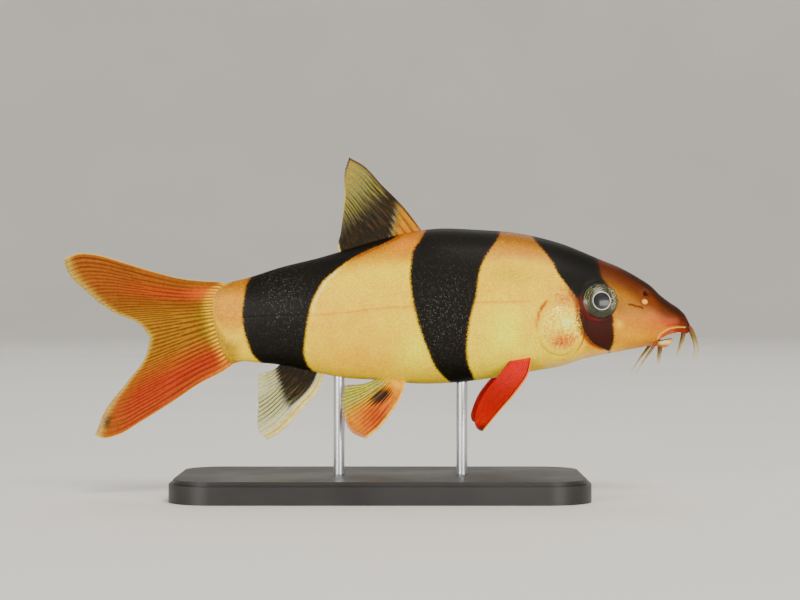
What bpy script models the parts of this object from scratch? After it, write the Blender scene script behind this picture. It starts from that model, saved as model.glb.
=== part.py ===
"""A clown loach, life size and still, held by a plain display stand.

Sizes are in millimetres. S runs back from the tip of the snout, Y to the fish's
left and Z up from the lateral line; place() turns them into world metres.
"""

import math

import bmesh
import bpy
import numpy as np

MM = 0.001
GAP = 0.3

# Where the fish stands over the floor
SNOUT_X = 55.42
BASE_LENGTH = 74.0
BASE_WIDTH = 38.0
BASE_THICKNESS = 4.0
FIN_CLEARANCE = 6.0
LOWEST_FIN_TIP = 23.5
AXIS_HEIGHT = BASE_THICKNESS + FIN_CLEARANCE + LOWEST_FIN_TIP

# The body's side outline as (S, Z) and its half width as (S, Y)
BACK = (
    (0.0, -2.7), (0.15, -2.0), (0.5, -1.2), (1.5, 0.0), (3.3, 1.3), (5.1, 2.65), (6.9, 4.4),
    (8.7, 5.6), (12.3, 7.6), (15.9, 9.1), (23.1, 12.0), (30.3, 13.75), (38.0, 14.45), (46.0, 14.6),
    (52.0, 13.6), (59.1, 11.6), (66.3, 9.45), (73.5, 7.65), (79.6, 5.7), (83.0, 4.8),
    (84.6, 4.0), (85.6, 2.6),
)
BELLY = (
    (0.0, -3.4), (0.15, -3.7), (0.6, -3.9), (1.8, -4.0), (2.6, -4.3), (3.1, -5.6), (3.8, -6.55),
    (5.1, -6.6), (6.9, -6.4), (8.7, -6.75), (12.3, -7.4), (18.8, -8.75), (23.1, -10.1), (28.0, -11.0),
    (33.9, -12.0), (41.1, -12.95), (48.3, -13.25), (55.5, -12.6), (62.7, -12.1),
    (67.2, -11.15), (72.6, -10.0), (79.8, -9.2), (83.3, -8.6), (84.5, -6.1), (85.6, -2.0),
)
HALF_WIDTH = (
    (0.0, 0.6), (0.15, 1.3), (0.5, 2.0), (1.5, 2.65), (3.0, 3.1), (5.0, 3.6), (8.7, 4.3), (12.3, 4.95),
    (16.0, 5.5), (20.0, 6.1), (25.0, 6.7), (31.0, 7.0), (40.0, 7.1), (48.0, 6.9), (57.0, 6.1),
    (66.0, 4.8), (74.0, 3.5), (80.0, 2.5), (83.3, 1.7), (85.6, 0.8),
)
# Height of the widest level of each section, as (S, Z)
WIDEST = (
    (0.0, -3.0), (2.0, -2.5), (5.0, -2.2), (9.0, -1.7), (16.0, -1.2), (30.0, -0.8), (45.0, -0.65),
    (60.0, -1.0), (72.0, -1.3), (80.0, -1.8), (84.0, -1.6), (85.6, 0.2),
)
# How square the section is over and under that level, where 2 is an ellipse
UPPER_SQUARENESS = ((0.0, 2.4), (12.0, 2.2), (30.0, 2.1), (86.0, 2.1))
LOWER_SQUARENESS = ((0.0, 2.4), (12.0, 2.6), (40.0, 2.5), (66.0, 2.2), (86.0, 2.1))

BODY_END = 85.6
BODY_SIDES = 32
SNOUT_STATIONS = (0.0, 0.15, 0.4, 0.8, 1.3, 1.9, 2.4, 2.8, 3.1, 3.5, 4.1)
HEAD_STEP = 1.4
HEAD_STEPS_END = 30.0
FLANK_STEP = 2.4
FLANK_STEPS_END = 82.0
TAIL_STATIONS = (83.0, 83.8, 84.5, 85.1, BODY_END)

# The gill cover is egg-shaped seen from the side, and set in a pocket of the head
COVER_CENTRE = (23.4, -3.0)
COVER_REAR = 4.3
COVER_FRONT = 3.8
COVER_TOP = 5.6
COVER_BOTTOM = 5.1
# The head ends along the cover's rear edge, up to this angle over and under its middle,
# and the cut from there leans back to the nape and forward to the throat
COVER_JOIN = math.radians(60.0)
NAPE_LEAN = 8.0
THROAT_LEAN = 4.0
COVER_PROUD = 0.25
COVER_THICKNESS = 0.9
COVER_POINTS = 36
COVER_LAST_ANGLE = 2.0 * math.pi * (COVER_POINTS - 1) / COVER_POINTS
# The stretch of the body, as S from and to, that the gill covers lie within
COVER_REACH = (12.0, 34.0)
# Where the tail is parted from the torso, just ahead of the anal fin
TAIL_CUT = 64.4
# A distance that is well outside the body on every side
OUTSIDE = 30.0

EYE_CENTRE = (16.47, 4.9, 1.59)
EYE_RADII = (3.45, 1.4, 3.2)
EYE_TURN_FORWARD = math.radians(8.0)
EYE_TURN_UP = math.radians(8.0)

NOSTRIL_PIT = (8.1, 2.9)
NOSTRIL_PIT_RADIUS = 0.6
NOSTRIL_FLAP = (8.0, 1.6)
NOSTRIL_FLAP_RADII = (0.55, 0.45, 0.75)

# The mouth gapes a little; the lips run round its edges from corner to corner
MOUTH_TOP_EDGE = ((1.6, -4.45), (3.0, -4.1), (4.3, -4.5), (5.5, -5.15), (6.0, -5.45))
MOUTH_BOTTOM_EDGE = ((6.0, -5.55), (5.5, -5.6), (4.3, -5.3), (3.0, -5.0), (1.6, -5.4))
UPPER_LIP = (
    (5.7, 2.95, -5.0), (4.6, 2.98, -4.35), (3.3, 2.7, -3.9), (2.0, 2.15, -3.7), (0.9, 1.5, -3.65),
    (0.3, 0.7, -3.55), (0.15, 0.0, -3.5),
)
LOWER_LIP = (
    (5.2, 2.5, -5.8), (4.5, 2.4, -5.75), (3.8, 2.0, -5.7), (3.25, 1.1, -5.65), (3.1, 0.0, -5.6),
)
LIP_CORNER_RADIUS = 0.24
LIP_RADIUS = 0.4

# Each barbel as its (S, Y, Z) points from root to tip, with Y out from the middle plane
BARBELS = {
    "rostral_outer": (
        (1.0, 1.3, -2.2), (0.0, 1.5, -3.1), (-0.9, 1.9, -4.75), (-1.4, 2.3, -6.9), (-1.2, 2.6, -9.0),
    ),
    "rostral_inner": ((0.7, 0.85, -2.9), (0.85, 0.9, -3.9), (1.35, 1.05, -5.95), (2.1, 1.3, -8.4)),
    "maxillary": ((5.9, 2.6, -5.4), (6.7, 3.1, -6.5), (8.2, 3.7, -8.6), (9.9, 4.3, -11.2)),
    "mandibular": ((5.1, 1.2, -6.0), (5.15, 1.25, -6.9), (5.3, 1.4, -8.3), (5.45, 1.6, -9.8)),
}
BARBEL_ROOT_RADIUS = 0.45
BARBEL_TIP_RADIUS = 0.16

# Half thickness of a fin's membrane, of its rim, and how far a ray stands up from it
MEMBRANE = 0.25
RIM = 0.2
RAY_RIDGE = 0.14
ROOT_EXTRA = 0.12

# The tail fin's two lobes part along a line from the flesh to the fork
FORK_ROOT = np.array((83.2, 0.0, -1.4))
FORK = np.array((96.9, 0.0, -5.0))
FORK_TURN = np.array((0.0, 0.0, GAP / 2))

# A fin is a patch between four edges, each a curve through (S, Y, Z) points:
# leading edge and trailing edge from root to tip, root and margin from front to rear.
FINS = {
    "dorsal_fin": dict(
        rays=11, rows=9,
        leading=((47.6, 0, 13.2), (51.6, 0, 18.9), (55.2, 0, 22.5), (58.6, 0, 26.1), (61.1, 0, 27.5)),
        trailing=((62.6, 0, 9.2), (63.1, 0, 11.5), (62.6, 0, 13.8)),
        root=((47.6, 0, 13.2), (55.0, 0, 11.4), (62.6, 0, 9.2)),
        margin=((61.1, 0, 27.5), (61.8, 0, 25.4), (62.0, 0, 20.0), (62.6, 0, 13.8)),
    ),
    "caudal_fin_upper": dict(
        rays=10, rows=10,
        leading=(
            (81.4, 0, 3.9), (84.2, 0, 5.1), (87.0, 0, 5.2), (91.5, 0, 5.7), (96.9, 0, 7.1),
            (102.3, 0, 8.8), (106.8, 0, 10.05), (109.9, 0, 10.2), (112.5, 0, 9.2),
        ),
        trailing=(FORK_ROOT + FORK_TURN, FORK + FORK_TURN),
        root=((81.4, 0, 3.9), (82.8, 0, 1.4), FORK_ROOT + FORK_TURN),
        margin=(
            (112.5, 0, 9.2), (112.0, 0, 7.3), (108.6, 0, 3.4), (103.8, 0, -0.3), (98.6, 0, -2.8),
            FORK + FORK_TURN,
        ),
    ),
    "caudal_fin_lower": dict(
        rays=9, rows=10,
        leading=(FORK_ROOT - FORK_TURN, FORK - FORK_TURN),
        trailing=(
            (79.8, 0, -7.9), (83.4, 0, -10.8), (87.9, 0, -13.2), (93.3, 0, -16.8),
            (98.7, 0, -20.2), (102.7, 0, -22.5), (105.4, 0, -23.1), (106.9, 0, -22.6),
        ),
        root=(FORK_ROOT - FORK_TURN, (82.6, 0, -4.8), (79.8, 0, -7.9)),
        margin=(
            FORK - FORK_TURN, (97.9, 0, -8.6), (101.2, 0, -13.0), (105.0, 0, -18.0), (106.9, 0, -22.6),
        ),
    ),
    "anal_fin": dict(
        rays=8, rows=8,
        leading=((65.3, 0, -10.2), (66.3, 0, -13.9), (69.9, 0, -18.3), (73.5, 0, -22.1), (75.8, 0, -23.3)),
        trailing=((72.3, 0, -8.6), (74.8, 0, -10.8), (77.6, 0, -11.5)),
        root=((65.3, 0, -10.2), (69.0, 0, -9.4), (72.3, 0, -8.6)),
        margin=((75.8, 0, -23.3), (77.2, 0, -22.0), (77.5, 0, -17.0), (77.6, 0, -11.5)),
    ),
    "pelvic_fin": dict(
        rays=8, rows=8,
        leading=(
            (50.6, 2.2, -11.9), (51.9, 3.6, -15.8), (53.7, 4.9, -18.6), (55.8, 6.0, -21.1),
            (58.1, 6.8, -22.8),
        ),
        trailing=((54.0, 1.9, -11.3), (58.0, 2.2, -13.2), (61.9, 2.6, -13.6)),
        root=((50.6, 2.2, -11.9), (52.3, 2.1, -11.7), (54.0, 1.9, -11.3)),
        margin=(
            (58.1, 6.8, -22.8), (60.5, 6.0, -21.7), (62.1, 4.6, -18.6), (62.4, 3.5, -15.8),
            (61.9, 2.6, -13.6),
        ),
    ),
    "pectoral_fin": dict(
        rays=13, rows=9,
        leading=(
            (28.4, 4.9, -7.6), (29.2, 7.2, -11.2), (31.6, 9.8, -14.5), (34.5, 12.0, -17.6),
            (37.6, 13.6, -21.1),
        ),
        trailing=((31.4, 5.0, -8.0), (34.6, 6.6, -11.6), (37.6, 7.6, -15.6), (38.5, 8.2, -17.8)),
        root=((28.4, 4.9, -7.6), (29.9, 5.0, -7.8), (31.4, 5.0, -8.0)),
        margin=((37.6, 13.6, -21.1), (38.5, 12.0, -20.7), (38.9, 10.2, -19.6), (38.5, 8.2, -17.8)),
    ),
}

ROD_RADIUS = 1.0
RODS = {"stand_rod_front": 40.8, "stand_rod_rear": 62.9}
ROD_SIDES = 24
BASE_CORNER_RADIUS = 8.0
BASE_EDGE_ROUNDING = 0.8

# Colour, roughness and metallic value of each material
FINISHES = {
    "skin": ((0.80, 0.52, 0.10), 0.40, 0.0),
    "gill_cover": ((0.85, 0.66, 0.30), 0.32, 0.15),
    "eye": ((0.015, 0.015, 0.02), 0.06, 0.0),
    "red_fin": ((0.72, 0.11, 0.02), 0.42, 0.0),
    "dark_fin": ((0.09, 0.07, 0.03), 0.42, 0.0),
    "barbel": ((0.55, 0.50, 0.22), 0.42, 0.0),
    "stand_base": ((0.05, 0.05, 0.05), 0.45, 0.0),
    "stand_rod": ((0.62, 0.63, 0.65), 0.28, 1.0),
}


def clear_scene():
    for obj in list(bpy.data.objects):
        bpy.data.objects.remove(obj, do_unlink=True)


def place(points):
    """World metres of points given as (S, Y, Z) in millimetres."""
    points = np.asarray(points, float)
    return np.stack([SNOUT_X - points[:, 0], points[:, 1], AXIS_HEIGHT + points[:, 2]], axis=1) * MM


def smooth(knots, at):
    """The values at the given places of a smooth curve through (place, value, ...) knots."""
    knots = np.asarray(knots, float)
    where = knots[:, 0]
    values = knots[:, 1:]
    steps = np.diff(where)[:, None]
    slopes = np.diff(values, axis=0) / steps
    inner = (slopes[:-1] * steps[1:] + slopes[1:] * steps[:-1]) / (steps[:-1] + steps[1:])
    tangents = np.vstack([slopes[:1], inner, slopes[-1:]])
    at = np.clip(np.atleast_1d(np.asarray(at, float)), where[0], where[-1])
    index = np.clip(np.searchsorted(where, at, side="right") - 1, 0, len(where) - 2)
    width = steps[index]
    t = (at[:, None] - where[index][:, None]) / width
    low, high = values[index], values[index + 1]
    low_slope, high_slope = tangents[index] * width, tangents[index + 1] * width
    result = (
        (2 * t**3 - 3 * t**2 + 1) * low + (t**3 - 2 * t**2 + t) * low_slope
        + (3 * t**2 - 2 * t**3) * high + (t**3 - t**2) * high_slope
    )
    return result[:, 0] if result.shape[1] == 1 else result


def along(points, share):
    """Points of a smooth curve through the given points, at shares 0 to 1 of its length."""
    points = np.asarray(points, float)
    reach = np.concatenate([[0.0], np.cumsum(np.linalg.norm(np.diff(points, axis=0), axis=1))])
    return smooth(np.column_stack([reach / reach[-1], points]), share)


def section(s, offset=0.0):
    """Top, bottom, widest level, half width and the two squarenesses of the body at S."""
    top = smooth(BACK, s) + offset
    bottom = smooth(BELLY, s) - offset
    half = smooth(HALF_WIDTH, s) + offset
    return top, bottom, smooth(WIDEST, s), half, smooth(UPPER_SQUARENESS, s), smooth(LOWER_SQUARENESS, s)


def surface_y(s, z, offset=0.0):
    """How far from the middle plane the body's surface is, at S and Z."""
    top, bottom, middle, half, upper, lower = section(s, offset)
    z = np.asarray(z, float)
    above = z >= middle
    share = np.where(above, (z - middle) / (top - middle), (middle - z) / (middle - bottom))
    squareness = np.where(above, upper, lower)
    return half * (1.0 - np.clip(share, 0.0, 0.999) ** squareness) ** (1.0 / squareness)


def make_object(name, points, faces):
    """A mesh object from world points, in metres, and its faces, with the normals facing out."""
    mesh = bpy.data.meshes.new(name)
    mesh.from_pydata([tuple(point) for point in points], [], [tuple(face) for face in faces])
    edit = bmesh.new()
    edit.from_mesh(mesh)
    bmesh.ops.recalc_face_normals(edit, faces=edit.faces)
    edit.to_mesh(mesh)
    edit.free()
    obj = bpy.data.objects.new(name, mesh)
    bpy.context.collection.objects.link(obj)
    return obj


def keep_largest(mesh):
    """Keeps only the largest closed surface of a mesh."""
    edit = bmesh.new()
    edit.from_mesh(mesh)
    waiting = set(edit.faces)
    pieces = []
    while waiting:
        piece = [waiting.pop()]
        for face in piece:
            for edge in face.edges:
                for near in edge.link_faces:
                    if near in waiting:
                        waiting.discard(near)
                        piece.append(near)
        pieces.append(piece)
    if len(pieces) > 1:
        pieces.sort(key=lambda piece: sum(face.calc_area() for face in piece))
        loose = [face for piece in pieces[:-1] for face in piece]
        bmesh.ops.delete(edit, geom=loose, context="FACES")
        edit.to_mesh(mesh)
    edit.free()


def combine(target, tool, operation):
    """Applies one Boolean to the target and removes the tool."""
    modifier = target.modifiers.new(operation, "BOOLEAN")
    modifier.operation = operation
    modifier.object = tool
    bpy.context.view_layer.update()
    graph = bpy.context.evaluated_depsgraph_get()
    result = bpy.data.meshes.new_from_object(target.evaluated_get(graph))
    target.modifiers.clear()
    target.data = result
    keep_largest(result)
    bpy.data.objects.remove(tool, do_unlink=True)
    return target


def grid_faces(rows, columns, start=0):
    """Quads of a tube of rows rings with columns points in each, the first at index start."""
    faces = []
    for row in range(rows - 1):
        for column in range(columns):
            after = (column + 1) % columns
            a = start + row * columns + column
            b = start + row * columns + after
            faces.append((a, b, b + columns, a + columns))
    return faces


def loft_stations(start, end):
    """The S of each section of the body between two places."""
    head = np.arange(SNOUT_STATIONS[-1] + HEAD_STEP, HEAD_STEPS_END, HEAD_STEP)
    flank = np.arange(HEAD_STEPS_END, FLANK_STEPS_END, FLANK_STEP)
    stations = np.concatenate([SNOUT_STATIONS, head, flank, TAIL_STATIONS])
    inside = stations[(stations > start) & (stations < end)]
    return np.concatenate([[start], inside, [end]])


def body_loft(name, offset=0.0, start=0.0, end=BODY_END):
    """The body's outer shape between two stations, grown by the offset."""
    stations = loft_stations(start, end)
    top, bottom, middle, half, upper, lower = section(stations, offset)
    if start == 0.0:
        stations[0] -= offset
    if end == BODY_END:
        stations[-1] += offset
    points = []
    for row, s in enumerate(stations):
        for side in range(BODY_SIDES):
            angle = 2.0 * math.pi * side / BODY_SIDES
            across, up = math.cos(angle), math.sin(angle)
            squareness = upper[row] if up >= 0 else lower[row]
            height = (top[row] if up >= 0 else bottom[row]) - middle[row]
            y = half[row] * math.copysign(abs(across) ** (2.0 / squareness), across)
            z = middle[row] + height * abs(up) ** (2.0 / squareness)
            points.append((s, y, z))
    faces = grid_faces(len(stations), BODY_SIDES)
    last = (len(stations) - 1) * BODY_SIDES
    faces.append(range(BODY_SIDES))
    faces.append(range(last, last + BODY_SIDES))
    return make_object(name, place(points), faces)


def side_prism(name, outline, y_from, y_to):
    """An outline of (S, Z) points carried across from one Y to another."""
    count = len(outline)
    points = [(s, y, z) for y in (y_from, y_to) for s, z in outline]
    faces = grid_faces(2, count)
    faces.append(range(count))
    faces.append(range(count, 2 * count))
    return make_object(name, place(points), faces)


def tube(name, path, radii, sides=8):
    """A round tapered tube along (S, Y, Z) points, with domed ends."""
    path = np.asarray(path, float)
    radii = np.asarray(radii, float)
    heading = np.gradient(path, axis=0)
    heading /= np.linalg.norm(heading, axis=1)[:, None]
    side = np.cross(heading[0], (0.3, 0.1, 1.0))
    points = []
    for centre, forward, radius in zip(path, heading, radii):
        side = side - forward * side.dot(forward)
        side /= np.linalg.norm(side)
        other = np.cross(forward, side)
        for step in range(sides):
            angle = 2.0 * math.pi * step / sides
            points.append(centre + radius * (math.cos(angle) * side + math.sin(angle) * other))
    faces = grid_faces(len(path), sides)
    last = (len(path) - 1) * sides
    start_tip = len(points)
    points.append(path[0] - heading[0] * radii[0] * 0.6)
    points.append(path[-1] + heading[-1] * radii[-1] * 0.8)
    for step in range(sides):
        after = (step + 1) % sides
        faces.append((step, after, start_tip))
        faces.append((last + step, last + after, start_tip + 1))
    return make_object(name, place(points), faces)


def ellipsoid(name, centre, radii, turn_forward=0.0, turn_up=0.0, across=24, up=12, grow=0.0):
    """An ellipsoid whose Y axis is turned forward and up, as an eye's is. Y grows to the left."""
    points = [(0.0, 1.0, 0.0)]
    for ring in range(1, up):
        tilt = math.pi * ring / up
        width = math.sin(tilt)
        for step in range(across):
            angle = 2.0 * math.pi * step / across
            points.append((width * math.cos(angle), math.cos(tilt), width * math.sin(angle)))
    points.append((0.0, -1.0, 0.0))
    faces = grid_faces(up - 1, across, 1)
    last = len(points) - 1
    for step in range(across):
        after = (step + 1) % across
        faces.append((0, 1 + step, 1 + after))
        faces.append((last, last - across + step, last - across + after))
    points = np.array(points) * (np.array(radii) + grow)
    forward = np.array([
        (math.cos(turn_forward), -math.sin(turn_forward), 0.0),
        (math.sin(turn_forward), math.cos(turn_forward), 0.0),
        (0.0, 0.0, 1.0),
    ])
    lift = np.array([
        (1.0, 0.0, 0.0),
        (0.0, math.cos(turn_up), -math.sin(turn_up)),
        (0.0, math.sin(turn_up), math.cos(turn_up)),
    ])
    return make_object(name, place(points @ (forward @ lift).T + np.array(centre)), faces)


def mirrored(obj, name):
    """A copy of an object on the other side of the fish."""
    mesh = obj.data.copy()
    mesh.name = name
    edit = bmesh.new()
    edit.from_mesh(mesh)
    for vertex in edit.verts:
        vertex.co.y = -vertex.co.y
    bmesh.ops.reverse_faces(edit, faces=edit.faces)
    edit.to_mesh(mesh)
    edit.free()
    copy = bpy.data.objects.new(name, mesh)
    bpy.context.collection.objects.link(copy)
    return copy


def cover_outline(grow, start_angle, end_angle, count):
    """Points round the gill cover; angle 0 is its rear and a quarter turn its top."""
    points = []
    for angle in np.linspace(start_angle, end_angle, count):
        back, up = math.cos(angle), math.sin(angle)
        length = (COVER_REAR if back > 0 else COVER_FRONT) + grow
        height = (COVER_TOP if up > 0 else COVER_BOTTOM) + grow
        points.append((COVER_CENTRE[0] + length * back, COVER_CENTRE[1] + height * up))
    return points


def moved_back(outline, distance):
    """A side outline that runs from the top down, moved to the rear by a distance."""
    outline = np.array(outline)
    steps = np.diff(outline, axis=0)
    steps /= np.linalg.norm(steps, axis=1)[:, None]
    normals = np.column_stack([-steps[:, 1], steps[:, 0]])
    corners = np.vstack([normals[:1], normals]) + np.vstack([normals, normals[-1:]])
    return outline + 2.0 * distance * corners / (corners**2).sum(axis=1)[:, None]


def head_region(gap):
    """The side outline of all that belongs to the head, out past the body on three sides."""
    nape = (COVER_CENTRE[0] + NAPE_LEAN, OUTSIDE)
    throat = (COVER_CENTRE[0] - THROAT_LEAN, -OUTSIDE)
    rear = [nape] + cover_outline(0.0, COVER_JOIN, -COVER_JOIN, 17) + [throat]
    return np.vstack([[(-OUTSIDE, OUTSIDE)], moved_back(rear, gap), [(-OUTSIDE, -OUTSIDE)]])


def lip(name, knots, grow=0.0):
    """A lip as a tube from the right corner of the mouth round the front to the left corner."""
    right = along(knots, np.linspace(0.0, 1.0, 9)) * (1.0, -1.0, 1.0)
    left = right[-2::-1] * (1.0, -1.0, 1.0)
    path = np.vstack([right, left])
    fullness = np.sin(np.linspace(0.0, math.pi, len(path))) ** 0.5
    radii = LIP_CORNER_RADIUS + (LIP_RADIUS - LIP_CORNER_RADIUS) * fullness + grow
    return tube(name, path, radii)


def make_head():
    head = body_loft("head")
    combine(head, side_prism("head_region", head_region(0.0), -OUTSIDE, OUTSIDE), "INTERSECT")
    combine(head, lip("upper_lip", UPPER_LIP), "UNION")
    combine(head, lip("lower_lip", LOWER_LIP), "UNION")
    mouth = list(MOUTH_TOP_EDGE) + list(MOUTH_BOTTOM_EDGE)
    combine(head, side_prism("mouth", mouth, -OUTSIDE, OUTSIDE), "DIFFERENCE")
    for side in (-1.0, 1.0):
        flap_y = side * surface_y(*NOSTRIL_FLAP)[0]
        flap_centre = (NOSTRIL_FLAP[0], flap_y, NOSTRIL_FLAP[1])
        combine(head, ellipsoid("flap", flap_centre, NOSTRIL_FLAP_RADII, across=10, up=6), "UNION")
        pit_y = side * surface_y(*NOSTRIL_PIT)[0]
        pit_radii = (NOSTRIL_PIT_RADIUS,) * 3
        pit_centre = (NOSTRIL_PIT[0], pit_y, NOSTRIL_PIT[1])
        combine(head, ellipsoid("pit", pit_centre, pit_radii, across=10, up=6), "DIFFERENCE")
        combine(head, eye_shape("socket", side, GAP), "DIFFERENCE")
        outline = cover_outline(GAP, 0.0, COVER_LAST_ANGLE, COVER_POINTS)
        pocket = side_prism("pocket", outline, side * 0.5, side * OUTSIDE)
        core = body_loft("core", -COVER_THICKNESS - GAP, *COVER_REACH)
        combine(pocket, core, "DIFFERENCE")
        combine(head, pocket, "DIFFERENCE")
    return head


def make_torso():
    torso = body_loft("torso")
    combine(torso, side_prism("head_region", head_region(GAP), -OUTSIDE, OUTSIDE), "DIFFERENCE")
    cut, behind = TAIL_CUT - GAP / 2, BODY_END + OUTSIDE
    rear = [(cut, OUTSIDE), (behind, OUTSIDE), (behind, -OUTSIDE), (cut, -OUTSIDE)]
    return combine(torso, side_prism("rear", rear, -OUTSIDE, OUTSIDE), "DIFFERENCE")


def make_tail():
    return body_loft("tail", 0.0, TAIL_CUT + GAP / 2)


def make_gill_cover():
    cover = body_loft("gill_cover_right", COVER_PROUD, *COVER_REACH)
    outline = cover_outline(0.0, 0.0, COVER_LAST_ANGLE, COVER_POINTS)
    combine(cover, side_prism("outline", outline, -OUTSIDE, -0.5), "INTERSECT")
    return combine(cover, body_loft("core", -COVER_THICKNESS, *COVER_REACH), "DIFFERENCE")


def eye_shape(name, side, grow=0.0):
    centre = (EYE_CENTRE[0], side * EYE_CENTRE[1], EYE_CENTRE[2])
    return ellipsoid(name, centre, EYE_RADII, side * EYE_TURN_FORWARD, side * EYE_TURN_UP, grow=grow)


def fin_patch(fin):
    """Points of a fin's middle sheet as rows along the rays and columns across them."""
    columns = 2 * fin["rays"] + 1
    across = np.linspace(0.0, 1.0, columns)
    out = np.linspace(0.0, 1.0, fin["rows"])
    root, margin = along(fin["root"], across), along(fin["margin"], across)
    leading, trailing = along(fin["leading"], out), along(fin["trailing"], out)
    u = across[None, :, None]
    v = out[:, None, None]
    from_ends = (1 - v) * root[None] + v * margin[None]
    from_sides = (1 - u) * leading[:, None] + u * trailing[:, None]
    root_corners = (1 - v) * ((1 - u) * root[0] + u * root[-1])
    margin_corners = v * ((1 - u) * margin[0] + u * margin[-1])
    return from_ends + from_sides - root_corners - margin_corners


def fin_thickness(rows, columns):
    """Half thickness over the sheet: a ridge on every second column, thin at the rim."""
    half = np.full((rows, columns), MEMBRANE)
    half[:, 1::2] += RAY_RIDGE
    out = np.linspace(0.0, 1.0, rows)[:, None]
    half += ROOT_EXTRA * np.clip(1.0 - 3.0 * out, 0.0, 1.0)
    half *= 1.0 - 0.15 * out
    half[-1, :] = RIM
    half[:, 0] = RIM
    half[:, -1] = RIM
    return half


def make_fin(name, fin):
    """A closed fin, split into triangles alike on both faces, with its rays as ridges."""
    sheet = fin_patch(fin)
    rows, columns = sheet.shape[:2]
    along_ray = np.gradient(sheet, axis=0)
    across_rays = np.gradient(sheet, axis=1)
    normal = np.cross(along_ray, across_rays)
    normal /= np.linalg.norm(normal, axis=2)[:, :, None]
    half = fin_thickness(rows, columns)[:, :, None]
    points = np.concatenate([(sheet + normal * half).reshape(-1, 3), (sheet - normal * half).reshape(-1, 3)])
    other = rows * columns
    faces = []
    for row in range(rows - 1):
        for column in range(columns - 1):
            a = row * columns + column
            b, c, d = a + 1, a + columns + 1, a + columns
            for first in (0, other):
                faces += [(a + first, b + first, c + first), (a + first, c + first, d + first)]
    border = [column for column in range(columns)]
    border += [row * columns + columns - 1 for row in range(1, rows)]
    border += [(rows - 1) * columns + column for column in range(columns - 2, -1, -1)]
    border += [row * columns for row in range(rows - 2, 0, -1)]
    for here, after in zip(border, border[1:] + border[:1]):
        faces += [(here, after, after + other), (here, after + other, here + other)]
    obj = make_object(name, place(points), faces)
    reach = sheet[:, :, 0]
    near_start, near_end = max(reach.min() - 12.0, 0.0), min(reach.max() + 4.0, BODY_END)
    return combine(obj, body_loft("flesh", GAP, near_start, near_end), "DIFFERENCE")


def right_side(fin):
    """The same fin with its edges on the fish's right, where Y is negative."""
    flipped = dict(fin)
    for edge in ("leading", "trailing", "root", "margin"):
        flipped[edge] = tuple((s, -y, z) for s, y, z in fin[edge])
    return flipped


def make_barbel(name, knots):
    path = along([(s, -y, z) for s, y, z in knots], np.linspace(0.0, 1.0, 9))
    share = np.linspace(0.0, 1.0, 9)
    radii = BARBEL_ROOT_RADIUS + (BARBEL_TIP_RADIUS - BARBEL_ROOT_RADIUS) * share**1.3
    barbel = tube(name, path, radii)
    combine(barbel, body_loft("flesh", GAP, 0.0, 14.0), "DIFFERENCE")
    combine(barbel, lip("upper_lip", UPPER_LIP, GAP), "DIFFERENCE")
    return combine(barbel, lip("lower_lip", LOWER_LIP, GAP), "DIFFERENCE")


def make_base():
    edit = bmesh.new()
    corners = []
    for x_side, y_side, first in ((1, 1, 0), (-1, 1, 1), (-1, -1, 2), (1, -1, 3)):
        for step in range(7):
            angle = math.pi / 2 * (first + step / 6)
            x = x_side * (BASE_LENGTH / 2 - BASE_CORNER_RADIUS) + BASE_CORNER_RADIUS * math.cos(angle)
            y = y_side * (BASE_WIDTH / 2 - BASE_CORNER_RADIUS) + BASE_CORNER_RADIUS * math.sin(angle)
            corners.append(edit.verts.new((x * MM, y * MM, 0.0)))
    bottom = edit.faces.new(corners)
    raised = bmesh.ops.extrude_face_region(edit, geom=[bottom])
    lifted = [item for item in raised["geom"] if isinstance(item, bmesh.types.BMVert)]
    bmesh.ops.translate(edit, verts=lifted, vec=(0.0, 0.0, BASE_THICKNESS * MM))
    rim = [edge for edge in edit.edges if all(vertex in lifted for vertex in edge.verts)]
    bmesh.ops.bevel(edit, geom=rim, offset=BASE_EDGE_ROUNDING * MM, segments=2, affect="EDGES")
    bmesh.ops.recalc_face_normals(edit, faces=edit.faces)
    mesh = bpy.data.meshes.new("stand_base")
    edit.to_mesh(mesh)
    edit.free()
    base = bpy.data.objects.new("stand_base", mesh)
    bpy.context.collection.objects.link(base)
    return base


def make_rod(name, s):
    """A rod from the base up to the belly, its top shaped to the belly."""
    foot = BASE_THICKNESS + GAP - AXIS_HEIGHT
    edit = bmesh.new()
    height = -foot - 6.0
    radius = ROD_RADIUS * MM
    bmesh.ops.create_cone(
        edit, cap_ends=True, segments=ROD_SIDES, radius1=radius, radius2=radius, depth=height * MM
    )
    middle = place([(s, 0.0, foot + height / 2)])[0]
    bmesh.ops.translate(edit, verts=edit.verts, vec=tuple(middle))
    mesh = bpy.data.meshes.new(name)
    edit.to_mesh(mesh)
    edit.free()
    rod = bpy.data.objects.new(name, mesh)
    bpy.context.collection.objects.link(rod)
    return combine(rod, body_loft("flesh", GAP, s - 5.0, s + 5.0), "DIFFERENCE")


def material(name):
    if name in bpy.data.materials:
        return bpy.data.materials[name]
    colour, roughness, metallic = FINISHES[name]
    made = bpy.data.materials.new(name)
    made.use_nodes = True
    shader = made.node_tree.nodes["Principled BSDF"]
    shader.inputs["Base Color"].default_value = (*colour, 1.0)
    shader.inputs["Roughness"].default_value = roughness
    shader.inputs["Metallic"].default_value = metallic
    made.diffuse_color = (*colour, 1.0)
    return made


def finish(obj, finish_name, parent):
    """Material, shading, an origin in the piece's middle, and the parent empty."""
    mesh = obj.data
    mesh.materials.clear()
    mesh.materials.append(material(finish_name))
    mesh.shade_smooth()
    mesh.set_sharp_from_angle(angle=math.radians(35))
    points = np.empty(len(mesh.vertices) * 3)
    mesh.vertices.foreach_get("co", points)
    points = points.reshape(-1, 3)
    middle = (points.min(axis=0) + points.max(axis=0)) / 2
    mesh.vertices.foreach_set("co", (points - middle).ravel())
    obj.parent = parent
    obj.location = middle - np.array(parent.location)


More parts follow.
